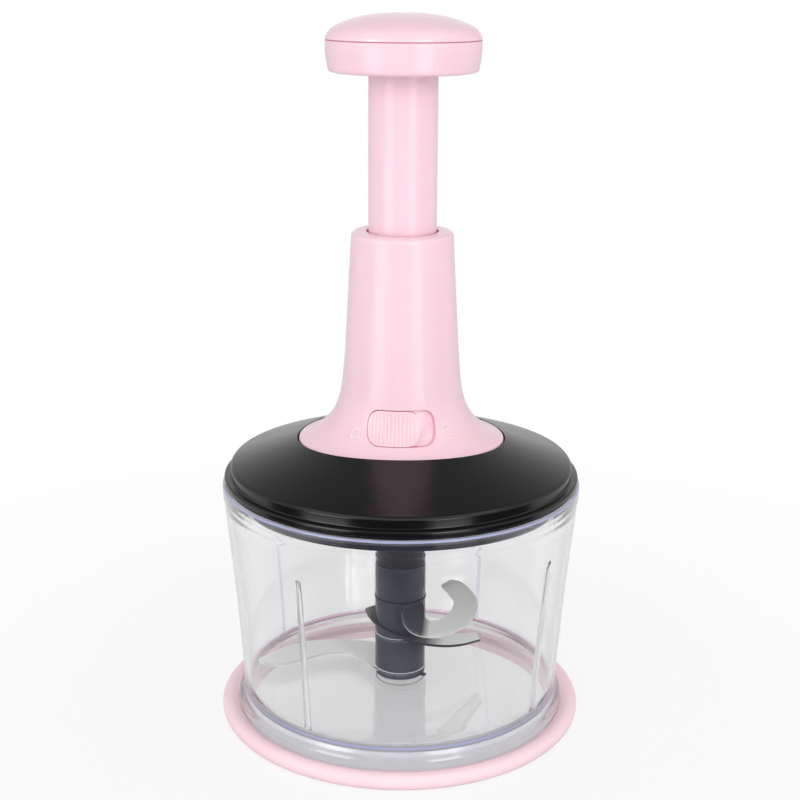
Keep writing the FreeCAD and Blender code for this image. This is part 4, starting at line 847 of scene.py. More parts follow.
# %% Plans of the blades
lower_runs = [
    [(0.138, 0.1), (-0.18, 0.3185), (-0.4708, 0.3677), (-0.7677, 0.2846), (-1.0, 0.034)],
    [(-1.0, 0.034), (-0.9277, -0.0415)],
    [(-0.9277, -0.0415), (-0.8231, -0.0369), (-0.7, 0.0277), (-0.5077, 0.1385), (-0.3323, 0.1308),
     (-0.2092, -0.0415), (-0.115, -0.123)],
    [(-0.115, -0.123), (0.138, 0.1)],
]
middle_runs = [
    [(-0.4472, 0.1951), (-0.3794, -0.0271), (-0.1816, -0.2873), (0.1409, -0.3957), (0.4797, -0.3279),
     (0.748, -0.1572), (1.02, 0.135)],
    [(1.02, 0.135), (0.9735, 0.2991)],
    [(0.9735, 0.2991), (0.6721, 0.0894), (0.4363, -0.0298), (0.2439, -0.0379)],
    [(0.2439, -0.0379), (-0.1897, 0.2168)],
    [(-0.1897, 0.2168), (-0.3144, 0.3794)],
    [(-0.3144, 0.3794), (-0.4472, 0.1951)],
]
upper_runs = [
    [(0.0146, -0.3956), (0.0479, -0.5932), (0.1609, -0.7673), (0.3731, -0.8424), (0.5615, -0.8081),
     (0.7145, -0.716), (0.8656, -0.5761), (0.9686, -0.347), (0.997, -0.1586), (0.9615, 0.0199),
     (0.8725, 0.186), (0.7842, 0.2909), (0.6796, 0.3154)],
    [(0.6796, 0.3154), (0.5372, 0.1872)],
    [(0.5372, 0.1872), (0.5952, 0.0893), (0.6509, -0.0243), (0.6883, -0.1267), (0.6777, -0.2286),
     (0.6171, -0.3902), (0.5178, -0.5004), (0.4155, -0.5408), (0.3273, -0.4922), (0.3034, -0.353),
     (0.2985, -0.2118), (0.2616, -0.0872)],
    [(0.2616, -0.0872), (0.0581, -0.2326)],
    [(0.0581, -0.2326), (0.0146, -0.3956)],
]
TILT = math.radians(15)
LOWER_Z = 18.6
MIDDLE_Z = 35.1
MIDDLE_RISE = 2.7
UPPER_Z = 52.5
# The dark steel in these lists is a painted reflection: on the ring sides of every blade, and on the
# upright edges of the middle blade.
pale_faces = [blade_steel, bevel_steel, grind_steel, painted_dark_steel, bevel_steel]
dark_edges = [shaded_steel, painted_dark_steel, shaded_steel, painted_dark_steel, bevel_steel]
soft_edges = [hook_steel, bevel_steel, grind_steel, painted_dark_steel, painted_dark_steel]
blade("lower", lower_runs, reach=65.0, ground=[2], grind=0.5, leaf_z=LOWER_Z,
      ring_z=low("lower_blade").z, finishes=pale_faces)
blade("middle", middle_runs, reach=36.9, ground=[], grind=1.2, leaf_z=MIDDLE_Z + MIDDLE_RISE,
      ring_z=MIDDLE_Z, finishes=dark_edges, tilt=TILT, axis="Y")
blade("upper", upper_runs, reach=34.4, ground=[0], grind=0.9, leaf_z=UPPER_Z, ring_z=UPPER_Z,
      finishes=soft_edges, tilt=TILT, axis="X")

# %% [markdown]
# ## Lid
# The lid is a shallow black cone on a short upright band, with a flange that
# rests on the rim of the bowl. The housing stands in an oval well, so after the
# turning the two inner rings of points are moved from a circle onto an ellipse.

# %% Shape of the housing's foot
FLARE_Z = 127.5
FLARE_HEIGHT = 7.1
FLARE_WIDTH = 18.0
FLARE_DEPTH = 12.6
HOUSING_RADIUS = 21.5
HOUSING_TAPER = 0.0551
STRAIGHT_Z = 213.5


def half_size(z, flare):
    """Half the width or the depth of the housing at a height, by how far its foot flares out."""
    spread = flare * math.exp((FLARE_Z - max(z, FLARE_Z)) / FLARE_HEIGHT)
    return HOUSING_RADIUS + HOUSING_TAPER * max(STRAIGHT_Z - max(z, FLARE_Z), 0) + spread


def half_width(z):
    return half_size(z, FLARE_WIDTH)


def half_depth(z):
    return half_size(z, FLARE_DEPTH)


def oval_reach(angle, a, b):
    return 1 / math.hypot(math.cos(angle) / a, math.sin(angle) / b)


# %% Lid
WELL_FLOOR = 123.4
WELL_GAP = 0.7
WELL_MARK = 46.0
WELL_TOP = 126.6
SLOPE_BREAK = (51.0, 124.6)
SLOPE_FALL = 8 / 21
FLANGE_TOP = 111.9
FLANGE_RADIUS = 76.6
BAND_RADIUS = 73.9
lid_corners = [
    (WELL_MARK, WELL_FLOOR), (WELL_MARK, WELL_TOP), SLOPE_BREAK, (73.0, 116.8, 0.9),
    (BAND_RADIUS, 115.6, 0.7), (BAND_RADIUS, FLANGE_TOP, 0.6), (FLANGE_RADIUS, FLANGE_TOP, 0.9),
    (FLANGE_RADIUS, 109.6, 0.3), (75.7, 109.3, 0.2), (75.7, 108.3, 0.2), (71.5, 108.3), (71.5, 115.0),
    (50.6, 122.2), (44.0, 121.0), (12.6, 121.0, 0.4), (12.6, WELL_FLOOR, 0.4)]
lid_mesh = turned(outline(lid_corners))
well_a = half_width(FLARE_Z) + WELL_GAP
well_b = half_depth(FLARE_Z) + WELL_GAP
for vert in lid_mesh.verts:
    reach = math.hypot(vert.co.x, vert.co.y)
    if abs(reach - WELL_MARK) < 0.01:
        turn = math.atan2(vert.co.y, vert.co.x)
        oval = oval_reach(turn, well_a, well_b)
        on_slope = SLOPE_BREAK[1] + (SLOPE_BREAK[0] - oval) * SLOPE_FALL
        height = on_slope if vert.co.z > WELL_FLOOR + 1 else WELL_FLOOR
        vert.co = (oval * math.cos(turn), oval * math.sin(turn), height)
piece(welded(lid_mesh), "lid_cover_turned", "lid", ["lid_cover"], [black_lid],
      crease=math.radians(28))

# %% [markdown]
# ## Under the lid
# The part of the lid that plugs the bowl is a slate disc with a short skirt and
# a long neck that steadies the hub. A grey silicone seal sits in its groove.
# Both are plain turning, and both are seen through the clear wall.

# %% Under the lid
NECK_LOW = 69.6
NECK_BORE = 8.1
PLUG_LOW = 103.8
PLUG_TOP = 106.2
SKIRT_RADIUS = 73.4
SEAL_SEAT = 72.6
SEAL_LOW = 105.2
SEAL_TOP = 107.4
plug_outline = outline([
    (NECK_BORE, NECK_LOW, 0.2), (HUB_RADIUS, NECK_LOW, 0.3), (HUB_RADIUS, PLUG_LOW, 0.6), (71.4, PLUG_LOW),
    (71.4, 102.7, 0.3), (SKIRT_RADIUS, 102.7, 0.3), (SKIRT_RADIUS, SEAL_LOW), (SEAL_SEAT, SEAL_LOW),
    (SEAL_SEAT, SEAL_TOP), (SKIRT_RADIUS, SEAL_TOP), (SKIRT_RADIUS, 108.3), (71.4, 108.3),
    (71.4, PLUG_TOP), (15.5, PLUG_TOP, 0.5), (15.5, 121.0), (13.0, 121.0), (13.0, PLUG_TOP),
    (NECK_BORE, PLUG_TOP)])
piece(turned(plug_outline), "lid_plug_turned", "lid", ["inner_lid"], [slate_plastic])
seal_outline = outline([(SEAL_SEAT, SEAL_LOW), (74.0, SEAL_LOW, 0.4), (74.7, 106.3, 0.5),
                        (74.0, SEAL_TOP, 0.4), (SEAL_SEAT, SEAL_TOP)])
piece(turned(seal_outline), "lid_seal_turned", "lid", ["lid_seal"], [seal_silicone])

# %% [markdown]
# ## Patterns that are rolled up
# The housing is oval at its foot and round at its head, with a window in its
# front. It is easier to cut a window in a flat sheet, so the skin is drawn flat
# first: x is the distance round, y is the height, and z stands out from the
# surface. Then the pattern is rolled round the axis like a label on a bottle.

# %% Rolling helpers
PATTERN_RADIUS = 28.58


def rolled(bm, width, depth):
    """Roll a flat pattern round the axis. The middle of the pattern comes to the front."""
    for vert in bm.verts:
        turn = FRONT + vert.co.x / PATTERN_RADIUS
        height = vert.co.y
        reach = oval_reach(turn, width(height), depth(height)) + vert.co.z
        vert.co = (reach * math.cos(turn), reach * math.sin(turn), height)
    return welded(bm)


def plumbed(x, height, share=0.6):
    """Draw the sides of the pattern in where it is wide, so that they stand more nearly upright."""
    turn = x / PATTERN_RADIUS
    upright = math.asin(max(-1, min(1, math.sin(turn) * PATTERN_RADIUS / half_depth(height))))
    return PATTERN_RADIUS * (turn + (upright - turn) * share)


def onto_rounded_box(x, y, a, b, corner):
    """Move a point of a box outline to the same place on a box with round corners."""
    core_x = max(-a + corner, min(a - corner, x))
    core_y = max(-b + corner, min(b - corner, y))
    away = Vector((x - core_x, y - core_y))
    if away.length < 1e-6:
        return x, y
    away = away.normalized() * corner
    return core_x + away.x, core_y + away.y


def raised(bm, faces, rise, open_under=False):
    """Extrude faces as one region and lift them. On a solid, the faces under them are taken out."""
    grown = bmesh.ops.extrude_face_region(bm, geom=faces)["geom"]
    lifted = [v for v in grown if isinstance(v, bmesh.types.BMVert)]
    bmesh.ops.translate(bm, vec=(0, 0, rise), verts=lifted)
    if open_under:
        bmesh.ops.delete(bm, geom=faces, context="FACES")
    bmesh.ops.recalc_face_normals(bm, faces=bm.faces)
    bm.normal_update()
    return lifted


def sliced(bm, across=(), up=()):
    """Cut a pattern by planes, so that it can bend when it is rolled."""
    cuts = [((x, 0, 0), (1, 0, 0)) for x in across] + [((0, y, 0), (0, 1, 0)) for y in up]
    for spot, facing in cuts:
        whole = bm.verts[:] + bm.edges[:] + bm.faces[:]
        bmesh.ops.bisect_plane(bm, geom=whole, plane_co=spot, plane_no=facing)


def cut_plan(points):
    """A flat face from a list of plan points."""
    bm = bmesh.new()
    bm.faces.new([bm.verts.new((x, y, 0)) for x, y in points])
    bm.normal_update()
    return bm


def evenly(start, end, count):
    return [start + (end - start) * k / count for k in range(count + 1)]


# %% [markdown]
# ## Housing
# The outline of the housing gives the rows of the pattern: up the lip, round
# its soft edge, along the flare and the taper, round the top edge, and in to
# the hole for the plunger. The window is made by taking out a block of faces
# and extruding the edges that are left onto a rounded box. The wall comes from
# extruding the whole sheet inward.

# %% Rows of the housing
HOUSING_TOP = high("housing").z
HOUSING_WALL = 2.2
ROOF_UNDER = HOUSING_TOP - 2.6
TOP_EDGE = 2.2
TUBE_HOLE = 14.85
BLOCK_LOW = 131.0
BLOCK_HIGH = 147.0


def housing_rows():
    """The rows of the pattern from the lip to the hole, each as (standing out, height)."""
    foot = half_width(FLARE_Z)
    flare = [(half_width(z), z) for z in (128.2, 128.6, 129.1, 129.7, 130.3)]
    body = [(half_width(z), z) for z in evenly(BLOCK_LOW, BLOCK_HIGH, 10)]
    tall = [(half_width(z), z) for z in (148.5, 150.2, 152.4, 155, 159, 164, 170, 178, 188, 200, 209)]
    head = half_width(HOUSING_TOP)
    drawn = outline([
        (foot, WELL_FLOOR), (foot, 125.4), (foot, FLARE_Z, 1.4), *flare, *body, *tall, (head, STRAIGHT_Z),
        (head, HOUSING_TOP, TOP_EDGE), (17.0, HOUSING_TOP), (TUBE_HOLE, HOUSING_TOP, 0.4),
        (TUBE_HOLE, ROOF_UNDER + 0.6)], closed=False)
    return [(r - half_width(z), z) for r, z in drawn]


# %% Window of the housing
COLUMNS = 192
BLOCK_A = math.radians(33.8) * PATTERN_RADIUS
WINDOW_A = math.radians(29.5) * PATTERN_RADIUS
WINDOW_LOW = 132.1
WINDOW_HIGH = 145.9
WINDOW_B = (WINDOW_HIGH - WINDOW_LOW) / 2
WINDOW_MIDDLE = (WINDOW_LOW + WINDOW_HIGH) / 2
WINDOW_CORNER = 5.4
WINDOW_LIP = 0.22
SLIDER_END = 6.0


def pattern_sheet(rows):
    """A flat sheet with a column for every step round the housing, and a row for every given one."""
    last = len(rows) - 1
    bm = bmesh.new()
    bmesh.ops.create_grid(bm, x_segments=COLUMNS, y_segments=last, size=1)
    for vert in bm.verts:
        out, height = rows[round((vert.co.y + 1) / 2 * last)]
        vert.co = (vert.co.x * math.pi * PATTERN_RADIUS, height, out)
    return bm


def within(spot, half, bottom, top, margin=0.0):
    """Whether a place on the pattern lies in a block about its middle."""
    return abs(spot.x) < half + margin and bottom - margin < spot.y < top + margin


def cut_window(bm):
    """Take a block of faces out, and draw the edges that are left onto a rounded box."""
    block = [f for f in bm.faces if within(f.calc_center_median(), BLOCK_A, BLOCK_LOW, BLOCK_HIGH)]
    bmesh.ops.delete(bm, geom=block, context="FACES")
    hole = [e for e in bm.edges if e.is_boundary
            and all(within(v.co, BLOCK_A, BLOCK_LOW, BLOCK_HIGH, 1) for v in e.verts)]
    half_block_x = max(abs(v.co.x) for e in hole for v in e.verts)
    half_block_y = (BLOCK_HIGH - BLOCK_LOW) / 2
    fresh = bmesh.ops.extrude_edge_only(bm, edges=hole)["geom"]
    inner = {v for v in fresh if isinstance(v, bmesh.types.BMVert)}
    for vert in inner:
        x = vert.co.x / half_block_x * WINDOW_A
        y = (vert.co.y - WINDOW_MIDDLE) / half_block_y * WINDOW_B
        x, y = onto_rounded_box(x, y, WINDOW_A, WINDOW_B, WINDOW_CORNER)
        vert.co = (plumbed(x, WINDOW_MIDDLE + y), WINDOW_MIDDLE + y, 0)
    spokes = [e for v in inner for e in v.link_edges if e.other_vert(v) not in inner]
    bmesh.ops.subdivide_edges(bm, edges=spokes, cuts=2, use_grid_fill=True)


# %% Skin of the housing
def housing_mesh():
    """A sheet with a window gets its wall, loses its seam, and is rolled up."""
    bm = pattern_sheet(housing_rows())
    cut_window(bm)
    for vert in raised(bm, bm.faces[:], 0):
        vert.co.y = min(vert.co.y, ROOF_UNDER)
        vert.co.z = min(vert.co.z, -HOUSING_WALL)
    half_round = math.pi * PATTERN_RADIUS - 0.01
    seam = [f for f in bm.faces if all(abs(v.co.x) > half_round for v in f.verts)]
    bmesh.ops.delete(bm, geom=seam, context="FACES")
    lip = [e for e in bm.edges if e.is_manifold and e.calc_face_angle() > 1
           and all(v.co.z > -0.01 and abs(v.co.x) < BLOCK_A and WINDOW_LOW - 1 < v.co.y < WINDOW_HIGH + 1
                   for v in e.verts)]
    bmesh.ops.bevel(bm, geom=lip, offset=WINDOW_LIP, segments=2, profile=0.5, affect="EDGES", material=-1)
    bm.normal_update()
    # Painted shade: the sides of the window take the deeper pink left of the slider's end and the
    # half-shade pink right of it, and faces down in the hole for the plunger take the deeper pink.
    for face in bm.faces:
        spot = face.calc_center_median()
        near_window = within(spot, BLOCK_A, BLOCK_LOW, BLOCK_HIGH) and spot.z > -HOUSING_WALL + 0.1
        if near_window and abs(face.normal.z) < 0.5:
            face.material_index = 1 if spot.x < SLIDER_END else 2
        elif spot.y > 200 and spot.z < -5.5 and face.normal.y < 0.5:
            face.material_index = 1
    return rolled(bm, half_width, half_depth)


FLOOR_BACK = -1.7
FLOOR_THICK = 1.2


def recess_mesh():
    """The floor behind the window, which follows the slope of the front."""
    bm = bmesh.new()
    bmesh.ops.create_grid(bm, x_segments=40, y_segments=16, size=1)
    for vert in bm.verts:
        vert.co = (vert.co.x * (WINDOW_A + 2.6), WINDOW_MIDDLE + vert.co.y * (WINDOW_B + 1.6), FLOOR_BACK)
    raised(bm, bm.faces[:], -FLOOR_THICK)
    return rolled(bm, half_depth, half_depth)


# %% [markdown]
# ## Padlock marks
# A small open padlock and a closed one stand beside the window. They could be a
# bump in the finish, but a raised line has a real edge. The body is a frame
# that an inset leaves, the shackle and the keyhole are drawn plans, and all are
# raised a third of a millimetre before they are rolled onto the housing.

# %% Padlock marks
MARK_LINE = 0.5
MARK_RISE = 0.35
MARK_SCALE = 0.86
MARK_Z = 136.6
BODY_HALF = 2.3
BODY_LOW = -3.3
BODY_TOP = 0.7
SHACKLE_HALF = 1.6
SHACKLE_FOOT = 0.66
SHACKLE_TOP = 3.4
KEYHOLE_HALF = 0.35


def rounded_plan(half, bottom, top, corner):
    """The plan of a box with round corners that is centred on the upright."""
    return outline([(-half, bottom, corner), (half, bottom, corner), (half, top, corner),
                    (-half, top, corner)])


def mark_loop(points, line):
    """A thin raised line that runs round a closed plan."""
    bm = cut_plan(points)
    bmesh.ops.inset_region(bm, faces=bm.faces[:], thickness=line, use_even_offset=True, use_boundary=True)
    middle = max(bm.faces, key=lambda f: len(f.verts))
    bmesh.ops.delete(bm, geom=[middle], context="FACES_ONLY")
    raised(bm, bm.faces[:], MARK_RISE)
    return bm


def padlock_mark(angle, lift, lean):
    """A small raised padlock. A lift swings the shackle out of the body."""
    body = mark_loop(rounded_plan(BODY_HALF, BODY_LOW, BODY_TOP, 0.7), MARK_LINE)
    top = SHACKLE_TOP + lift
    free_end = SHACKLE_FOOT + 2 * lift
    thin = SHACKLE_HALF - MARK_LINE
    shackle = cut_plan(outline([
        (-SHACKLE_HALF, SHACKLE_FOOT), (-SHACKLE_HALF, top, 1.55), (SHACKLE_HALF, top, 1.55),
        (SHACKLE_HALF, free_end), (thin, free_end), (thin, top - MARK_LINE, 1.15),
        (-thin, top - MARK_LINE, 1.15), (-thin, SHACKLE_FOOT)]))
    raised(shackle, shackle.faces[:], MARK_RISE)
    keyhole = cut_plan(rounded_plan(KEYHOLE_HALF, -2.0, -0.7, 0.3))
    raised(keyhole, keyhole.faces[:], MARK_RISE)
    bm = joined(body, shackle, keyhole)
    # The marks take the lighter mark pink, a painted highlight.
    for face in bm.faces:
        face.material_index = 3
    turn_about(bm, lean, "Z")
    bmesh.ops.scale(bm, vec=(MARK_SCALE, MARK_SCALE, 1), verts=bm.verts)
    bmesh.ops.translate(bm, vec=(angle * PATTERN_RADIUS, MARK_Z, 0), verts=bm.verts)
    return rolled(bm, half_width, half_depth)


open_mark = padlock_mark(math.radians(-38.5), lift=0.9, lean=math.radians(14))
closed_mark = padlock_mark(math.radians(39.0), lift=0.0, lean=math.radians(4))
# The deeper pinks on the housing are painted shade, and the mark pink is a painted highlight.
piece(joined(housing_mesh(), recess_mesh(), open_mark, closed_mark), "housing_skin", "lid", ["housing"],
      [pink_plastic, pink_painted_shade, pink_painted_half_shade, mark_painted_highlight])

# %% [markdown]
# ## Lock slider
# The slider is a rounded button with fine upright ribs for the finger. It is
# drawn flat, cut into strips, and the strips that become ribs are extruded.
# Then the sharp edges are bevelled, and the button is rolled to the slope of
# the housing.

# %% Button of the slider
LOCK_GAP = 0.25
LOCK_TRAVEL = math.radians(13)
LOCK_PROUD = 0.5
BUTTON_BACK = 1.55
button_left = -WINDOW_A + LOCK_GAP
button_right = WINDOW_A - 2 * LOCK_GAP - LOCK_TRAVEL * PATTERN_RADIUS
button_low = WINDOW_LOW + LOCK_GAP
button_high = WINDOW_HIGH - LOCK_GAP
soft = WINDOW_CORNER - LOCK_GAP
button = cut_plan(outline([(button_left, button_low, soft), (button_right, button_low, soft),
                           (button_right, button_high, soft), (button_left, button_high, soft)]))
bmesh.ops.translate(button, vec=(0, 0, -BUTTON_BACK), verts=button.verts)
raised(button, button.faces[:], LOCK_PROUD + BUTTON_BACK)
print("slider in mm:", round(button_right - button_left, 1), "by", round(button_high - button_low, 1))

# %% Ribs of the slider
LOCK_RIBS = 13
RIB_RISE = 0.2
RIB_HALF = 0.36
RIB_EDGE = 0.09
rib_margin = math.radians(2) * PATTERN_RADIUS
pitch = (button_right - button_left - 2 * rib_margin) / LOCK_RIBS
middles = [button_left + rib_margin + pitch * (k + 0.5) for k in range(LOCK_RIBS)]
levels = evenly(button_low + 1.0, button_high - 1.0, 9)
sliced(button, across=[x + side * RIB_HALF for x in middles for side in (-1, 1)], up=levels)
strips = []
for face in button.faces:
    centre = face.calc_center_median()
    near = min(abs(centre.x - x) for x in middles)
    if face.normal.z > 0.9 and near < RIB_HALF - 0.06 and levels[0] < centre.y < levels[-1]:
        strips.append(face)
raised(button, strips, RIB_RISE, open_under=True)
# Painted light and shade: the tops of the ribs take a lighter pink, a painted highlight, and the floor
# between the ribs and the sides of the button take deeper pinks, painted shade.
for face in button.faces:
    centre = face.calc_center_median()
    among_ribs = middles[0] < centre.x < middles[-1] and levels[0] < centre.y < levels[-1]
    if face.normal.z < 0.5:
        face.material_index = 3
    elif centre.z > LOCK_PROUD + RIB_RISE / 2:
        face.material_index = 1
    elif among_ribs:
        face.material_index = 2
crisp = [e for e in button.edges if e.is_manifold and e.is_convex and e.calc_face_angle() > 1
         and all(v.co.z > LOCK_PROUD - 0.01 for v in e.verts)]
bmesh.ops.bevel(button, geom=crisp, offset=RIB_EDGE, segments=3, profile=0.5, affect="EDGES", material=-1)
for vert in button.verts:
    vert.co.x = plumbed(vert.co.x, vert.co.y)
piece(rolled(button, half_depth, half_depth), "lock_slider_ribbed", "lock", ["lock_slider"],
      [slider_plastic, rib_painted_highlight, groove_painted_shade, pink_painted_half_shade])

# %% [markdown]
# ## Plunger
# The plunger is a plain moulded tube with a flange inside the knob, turned from
# its outline. Its lower end has an L-shaped notch, in which the tongue of the
# lock holds the plunger down. The notch could be cut with a boolean, but taking
# faces out of both skins and bridging them keeps the mesh clean.

# %% Plunger
TUBE_RADIUS = 14.25
TUBE_BORE = 12.25
TUBE_LOW = 188
NOTCH_LIP = 190.6
NOTCH_TOP = 195.6
NOTCH_ENTRY = (math.radians(-104), math.radians(-89))
NOTCH_END = math.radians(-76)
tube_outline = outline([
    (0, 282.5), (TUBE_BORE, 282.5), (TUBE_BORE, 286.6), (21.5, 286.6, 0.3), (21.5, 284.6, 0.3),
    (TUBE_RADIUS, 284.6), (TUBE_RADIUS, NOTCH_TOP), (TUBE_RADIUS, NOTCH_LIP), (TUBE_RADIUS, TUBE_LOW, 0.5),
    (TUBE_BORE, TUBE_LOW, 0.5), (TUBE_BORE, NOTCH_LIP), (TUBE_BORE, NOTCH_TOP), (TUBE_BORE, 279.5),
    (0, 279.5)], closed=False)


def in_notch(spot):
    """Whether a place on the tube is in the L-shaped way for the lock tongue."""
    turn = math.atan2(spot.y, spot.x)
    entry = NOTCH_ENTRY[0] < turn < NOTCH_ENTRY[1]
    sideways = spot.z > NOTCH_LIP and NOTCH_ENTRY[0] < turn < NOTCH_END
    return spot.z < NOTCH_TOP and (entry or sideways)


def notched(bm):
    """Take the notch out of both skins of the tube, then close the wall between them."""
    gone = [f for f in bm.faces if in_notch(f.calc_center_median())]
    bmesh.ops.delete(bm, geom=gone, context="FACES")
    sides = []
    for edge in bm.edges:
        reaches = [v.co.xy.length for v in edge.verts]
        if edge.is_boundary and (min(reaches) > TUBE_RADIUS - 0.01 or max(reaches) < TUBE_BORE + 0.01):
            sides.append(edge)
    bmesh.ops.bridge_loops(bm, edges=sides)
    bmesh.ops.holes_fill(bm, edges=bm.edges, sides=0)
    return welded(bm)


piece(notched(turned(tube_outline, closed=False)), "plunger_turned", "plunger", ["plunger_tube"],
      [pink_plastic])

# %% [markdown]
# ## Knob
# The knob fills the palm. It is a cup and a domed cap that meet in a fine gap, and both are turned. The
# faces in the gap get a deeper pink, a painted shade, because the gap is too narrow for its own shade to
# show.

# %% Knob
GAP_INNER = 29
GAP_OUTER = 31.75
CUP_TOP = 293.95
CAP_LOW = 294.1
KNOB_RADIUS = 31.8


def gap_painted_shade(bm, bottom, top):
    """Give the faces between the cup and the cap the second finish, a painted shade."""
    for face in bm.faces:
        spot = face.calc_center_median()
        if bottom < spot.z < top and GAP_INNER < spot.xy.length < GAP_OUTER:
            face.material_index = 1
    return bm


def knob_piece(bm, name, node):
    piece(bm, name, "plunger", [node], [pink_plastic, pink_painted_half_shade])


cup_side = smooth_run([(29, 281.2), (30.45, 281.93), (31.18, 285.28), (31.75, 289.95),
                       (KNOB_RADIUS, 293.75)], steps=8)
cup_outline = outline([(14.3, 281.2, 0.3), *cup_side, (31.6, CUP_TOP, 0.1), (29.5, CUP_TOP), (29.5, 284.6),
                       (14.3, 284.6)])
knob_piece(gap_painted_shade(turned(cup_outline), 293.8, 294.0), "knob_cup_turned", "knob_cup")
cap_top = smooth_run([(0, 304.6), (9, 304.25), (18, 302.9), (25, 300.7), (29.41, 298.4), (31.5, 295.6),
                      (KNOB_RADIUS, 294.3)], steps=8)
cap_under = smooth_run([(27.6, 296.2), (23.9, 298.7), (16.9, 300.8), (9, 301.9), (0, 302.2)])
cap_outline = outline([*cap_top, (31.6, CAP_LOW, 0.1), (29.2, CAP_LOW), (29.2, 290.3, 0.3),
                       (27.6, 290.3, 0.3), *cap_under], closed=False)
knob_piece(gap_painted_shade(turned(cap_outline, closed=False), 294.05, 294.25), "knob_cap_turned", "knob_cap")

# %% [markdown]
# ## Return spring
# A small ring of wire is spun twenty times round the axis while it climbs, and its ends are closed. In the
# chopper, the coil is squashed between the lid and the plunger when the knob goes down; this script builds
# it at the length of the imported spring and does not squash it.

# %% Return spring
SPRING_RADIUS = 9.0
WIRE_RADIUS = 0.7
SPRING_TURNS = 20
TURN_STEPS = 32
spring_steps = SPRING_TURNS * TURN_STEPS
spring_low = low("return_spring").z
climb = high("return_spring").z - WIRE_RADIUS - (spring_low + WIRE_RADIUS)
coil = bmesh.new()
bmesh.ops.create_circle(coil, segments=10, radius=WIRE_RADIUS)
turn_about(coil, QUARTER, "X")
bmesh.ops.translate(coil, vec=(SPRING_RADIUS, 0, spring_low + WIRE_RADIUS), verts=coil.verts)
bmesh.ops.spin(coil, geom=coil.verts[:] + coil.edges[:], cent=(0, 0, 0), axis=(0, 0, 1),
               angle=SPRING_TURNS * FULL_TURN, dvec=(0, 0, climb / spring_steps), steps=spring_steps)
bmesh.ops.holes_fill(coil, edges=coil.edges, sides=0)
bmesh.ops.recalc_face_normals(coil, faces=coil.faces)
spring = piece(coil, "return_spring_wound", "lid", ["return_spring"], [bright_steel])
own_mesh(spring)

# %% [markdown]
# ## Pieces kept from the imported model
# Screws, bearings and the drive are already the right shape and hardly show, so
# they stay as they are. They get the same shader-built finishes as the rest.

# %% Finishes for the kept pieces
kept_finishes = [
    (charcoal_plastic, ["hub_core"]),
    (white_acetal, ["hub_bush", "guide_bush", "thrust_washer", "drive_cap", "drive_nut", "ratchet_crown",
                    "drive_shaft", "spring_washer"]),
    (bright_steel, ["lid_screws", "housing_screws", "clutch_spring", "knob_screws", "helix_rod",
                    "rod_screw"]),
    (pink_plastic, ["lock_tongue"]),
]
for finish, nodes in kept_finishes:
    for node in nodes:
        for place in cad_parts[node].material_slots:
            place.material = finish
    print(f"{finish.name} on {len(nodes)} kept pieces")

# %% [markdown]
# ## What each kind of ray sees
# A studio shot hides its lamps and cards from the camera, but the shiny parts
# still mirror them. Light Path tells the kinds of rays apart, so the floor and
# the surround can answer each in its own way. Two soft windows stand in front
# of the chopper, one to the left and one to the right, and shiny parts show
# them as upright streaks.

# %% Rays and windows
WINDOW_PLACES = (-0.70, 0.50)
WINDOW_EDGE = 50.0
SHARP_START = 20
WHITE = (1, 1, 1, 1)


def ray_kinds(board):
    """Whether a ray comes from the camera, through something clear, or off something shiny."""
    path = board.node("LightPath")
    kinds = ("Is Camera Ray", "Is Transmission Ray", "Is Glossy Ray")
    return [Wire(board.tree, path.outputs[kind]) for kind in kinds]


def soft_band(value, middle, full, sharpness):
    """One near the middle, falling to nothing away from it. A fuller band has a wider top."""
    away = value - middle
    return (full - away * away * sharpness).clipped()


def two_windows(sideways):
    """The windows, by how far aside a direction points."""
    left, right = [soft_band(sideways, place, 2, WINDOW_EDGE) for place in WINDOW_PLACES]
    return left + right


# %% [markdown]
# ## Floor
# The pale floor runs out of sight. It is white to the camera, but it keeps the
# soft shadow of the chopper. Through the clear bowl it is a little greyer than
# to the camera. In front of the chopper, reflections see a dark floor with the
# light of the two windows on it, and so do rays that have passed through the
# bowl, because the inside of the bowl mirrors the room in front.

# %% Floor
FLOOR_SIZE = 6.0
WINDOW_GLOW = 2.2
BOWL_EDGE = 0.085


def floor_paint():
    finish = Finish("floor_paint", Roughness=0.5, Specular_IOR_Level=0.2)
    speck = finish.noise(12.0, 2.0)
    finish.colour(finish.mixed(speck, (0.80, 0.80, 0.81, 1), (0.84, 0.84, 0.85, 1)))
    seen, through, mirrored = ray_kinds(finish)
    across, depth, _ = finish.axes(finish.place())
    reach = finish.distance()
    far = (reach * 4 - 0.6).clipped()
    behind = (depth * 8 + 0.3).clipped()
    share = seen * (0.8 + far * 0.2) + through * (0.34 + 0.16 * behind)
    white = finish.node("Emission", Color=WHITE, Strength=1.0).outputs[0]
    plain = finish.either(share.clipped(), finish.shader.outputs[0], white)
    in_front = (depth * -SHARP_START).clipped()
    windows = two_windows(across * reach ** -1.0) * in_front * (reach * 2.0 - 0.5).clipped()
    dark = finish.node("Emission", Color=(0.1, 0.1, 0.11, 1), Strength=1.0).outputs[0]
    bright = finish.node("Emission", Color=WHITE, Strength=WINDOW_GLOW).outputs[0]
    past_bowl = ((depth + BOWL_EDGE) * -SHARP_START).clipped()
    frontal = (mirrored * (1 - through) * in_front + through * past_bowl).clipped()
    finish.surface(finish.either(frontal, plain, finish.either(windows, dark, bright)))
    return finish.material


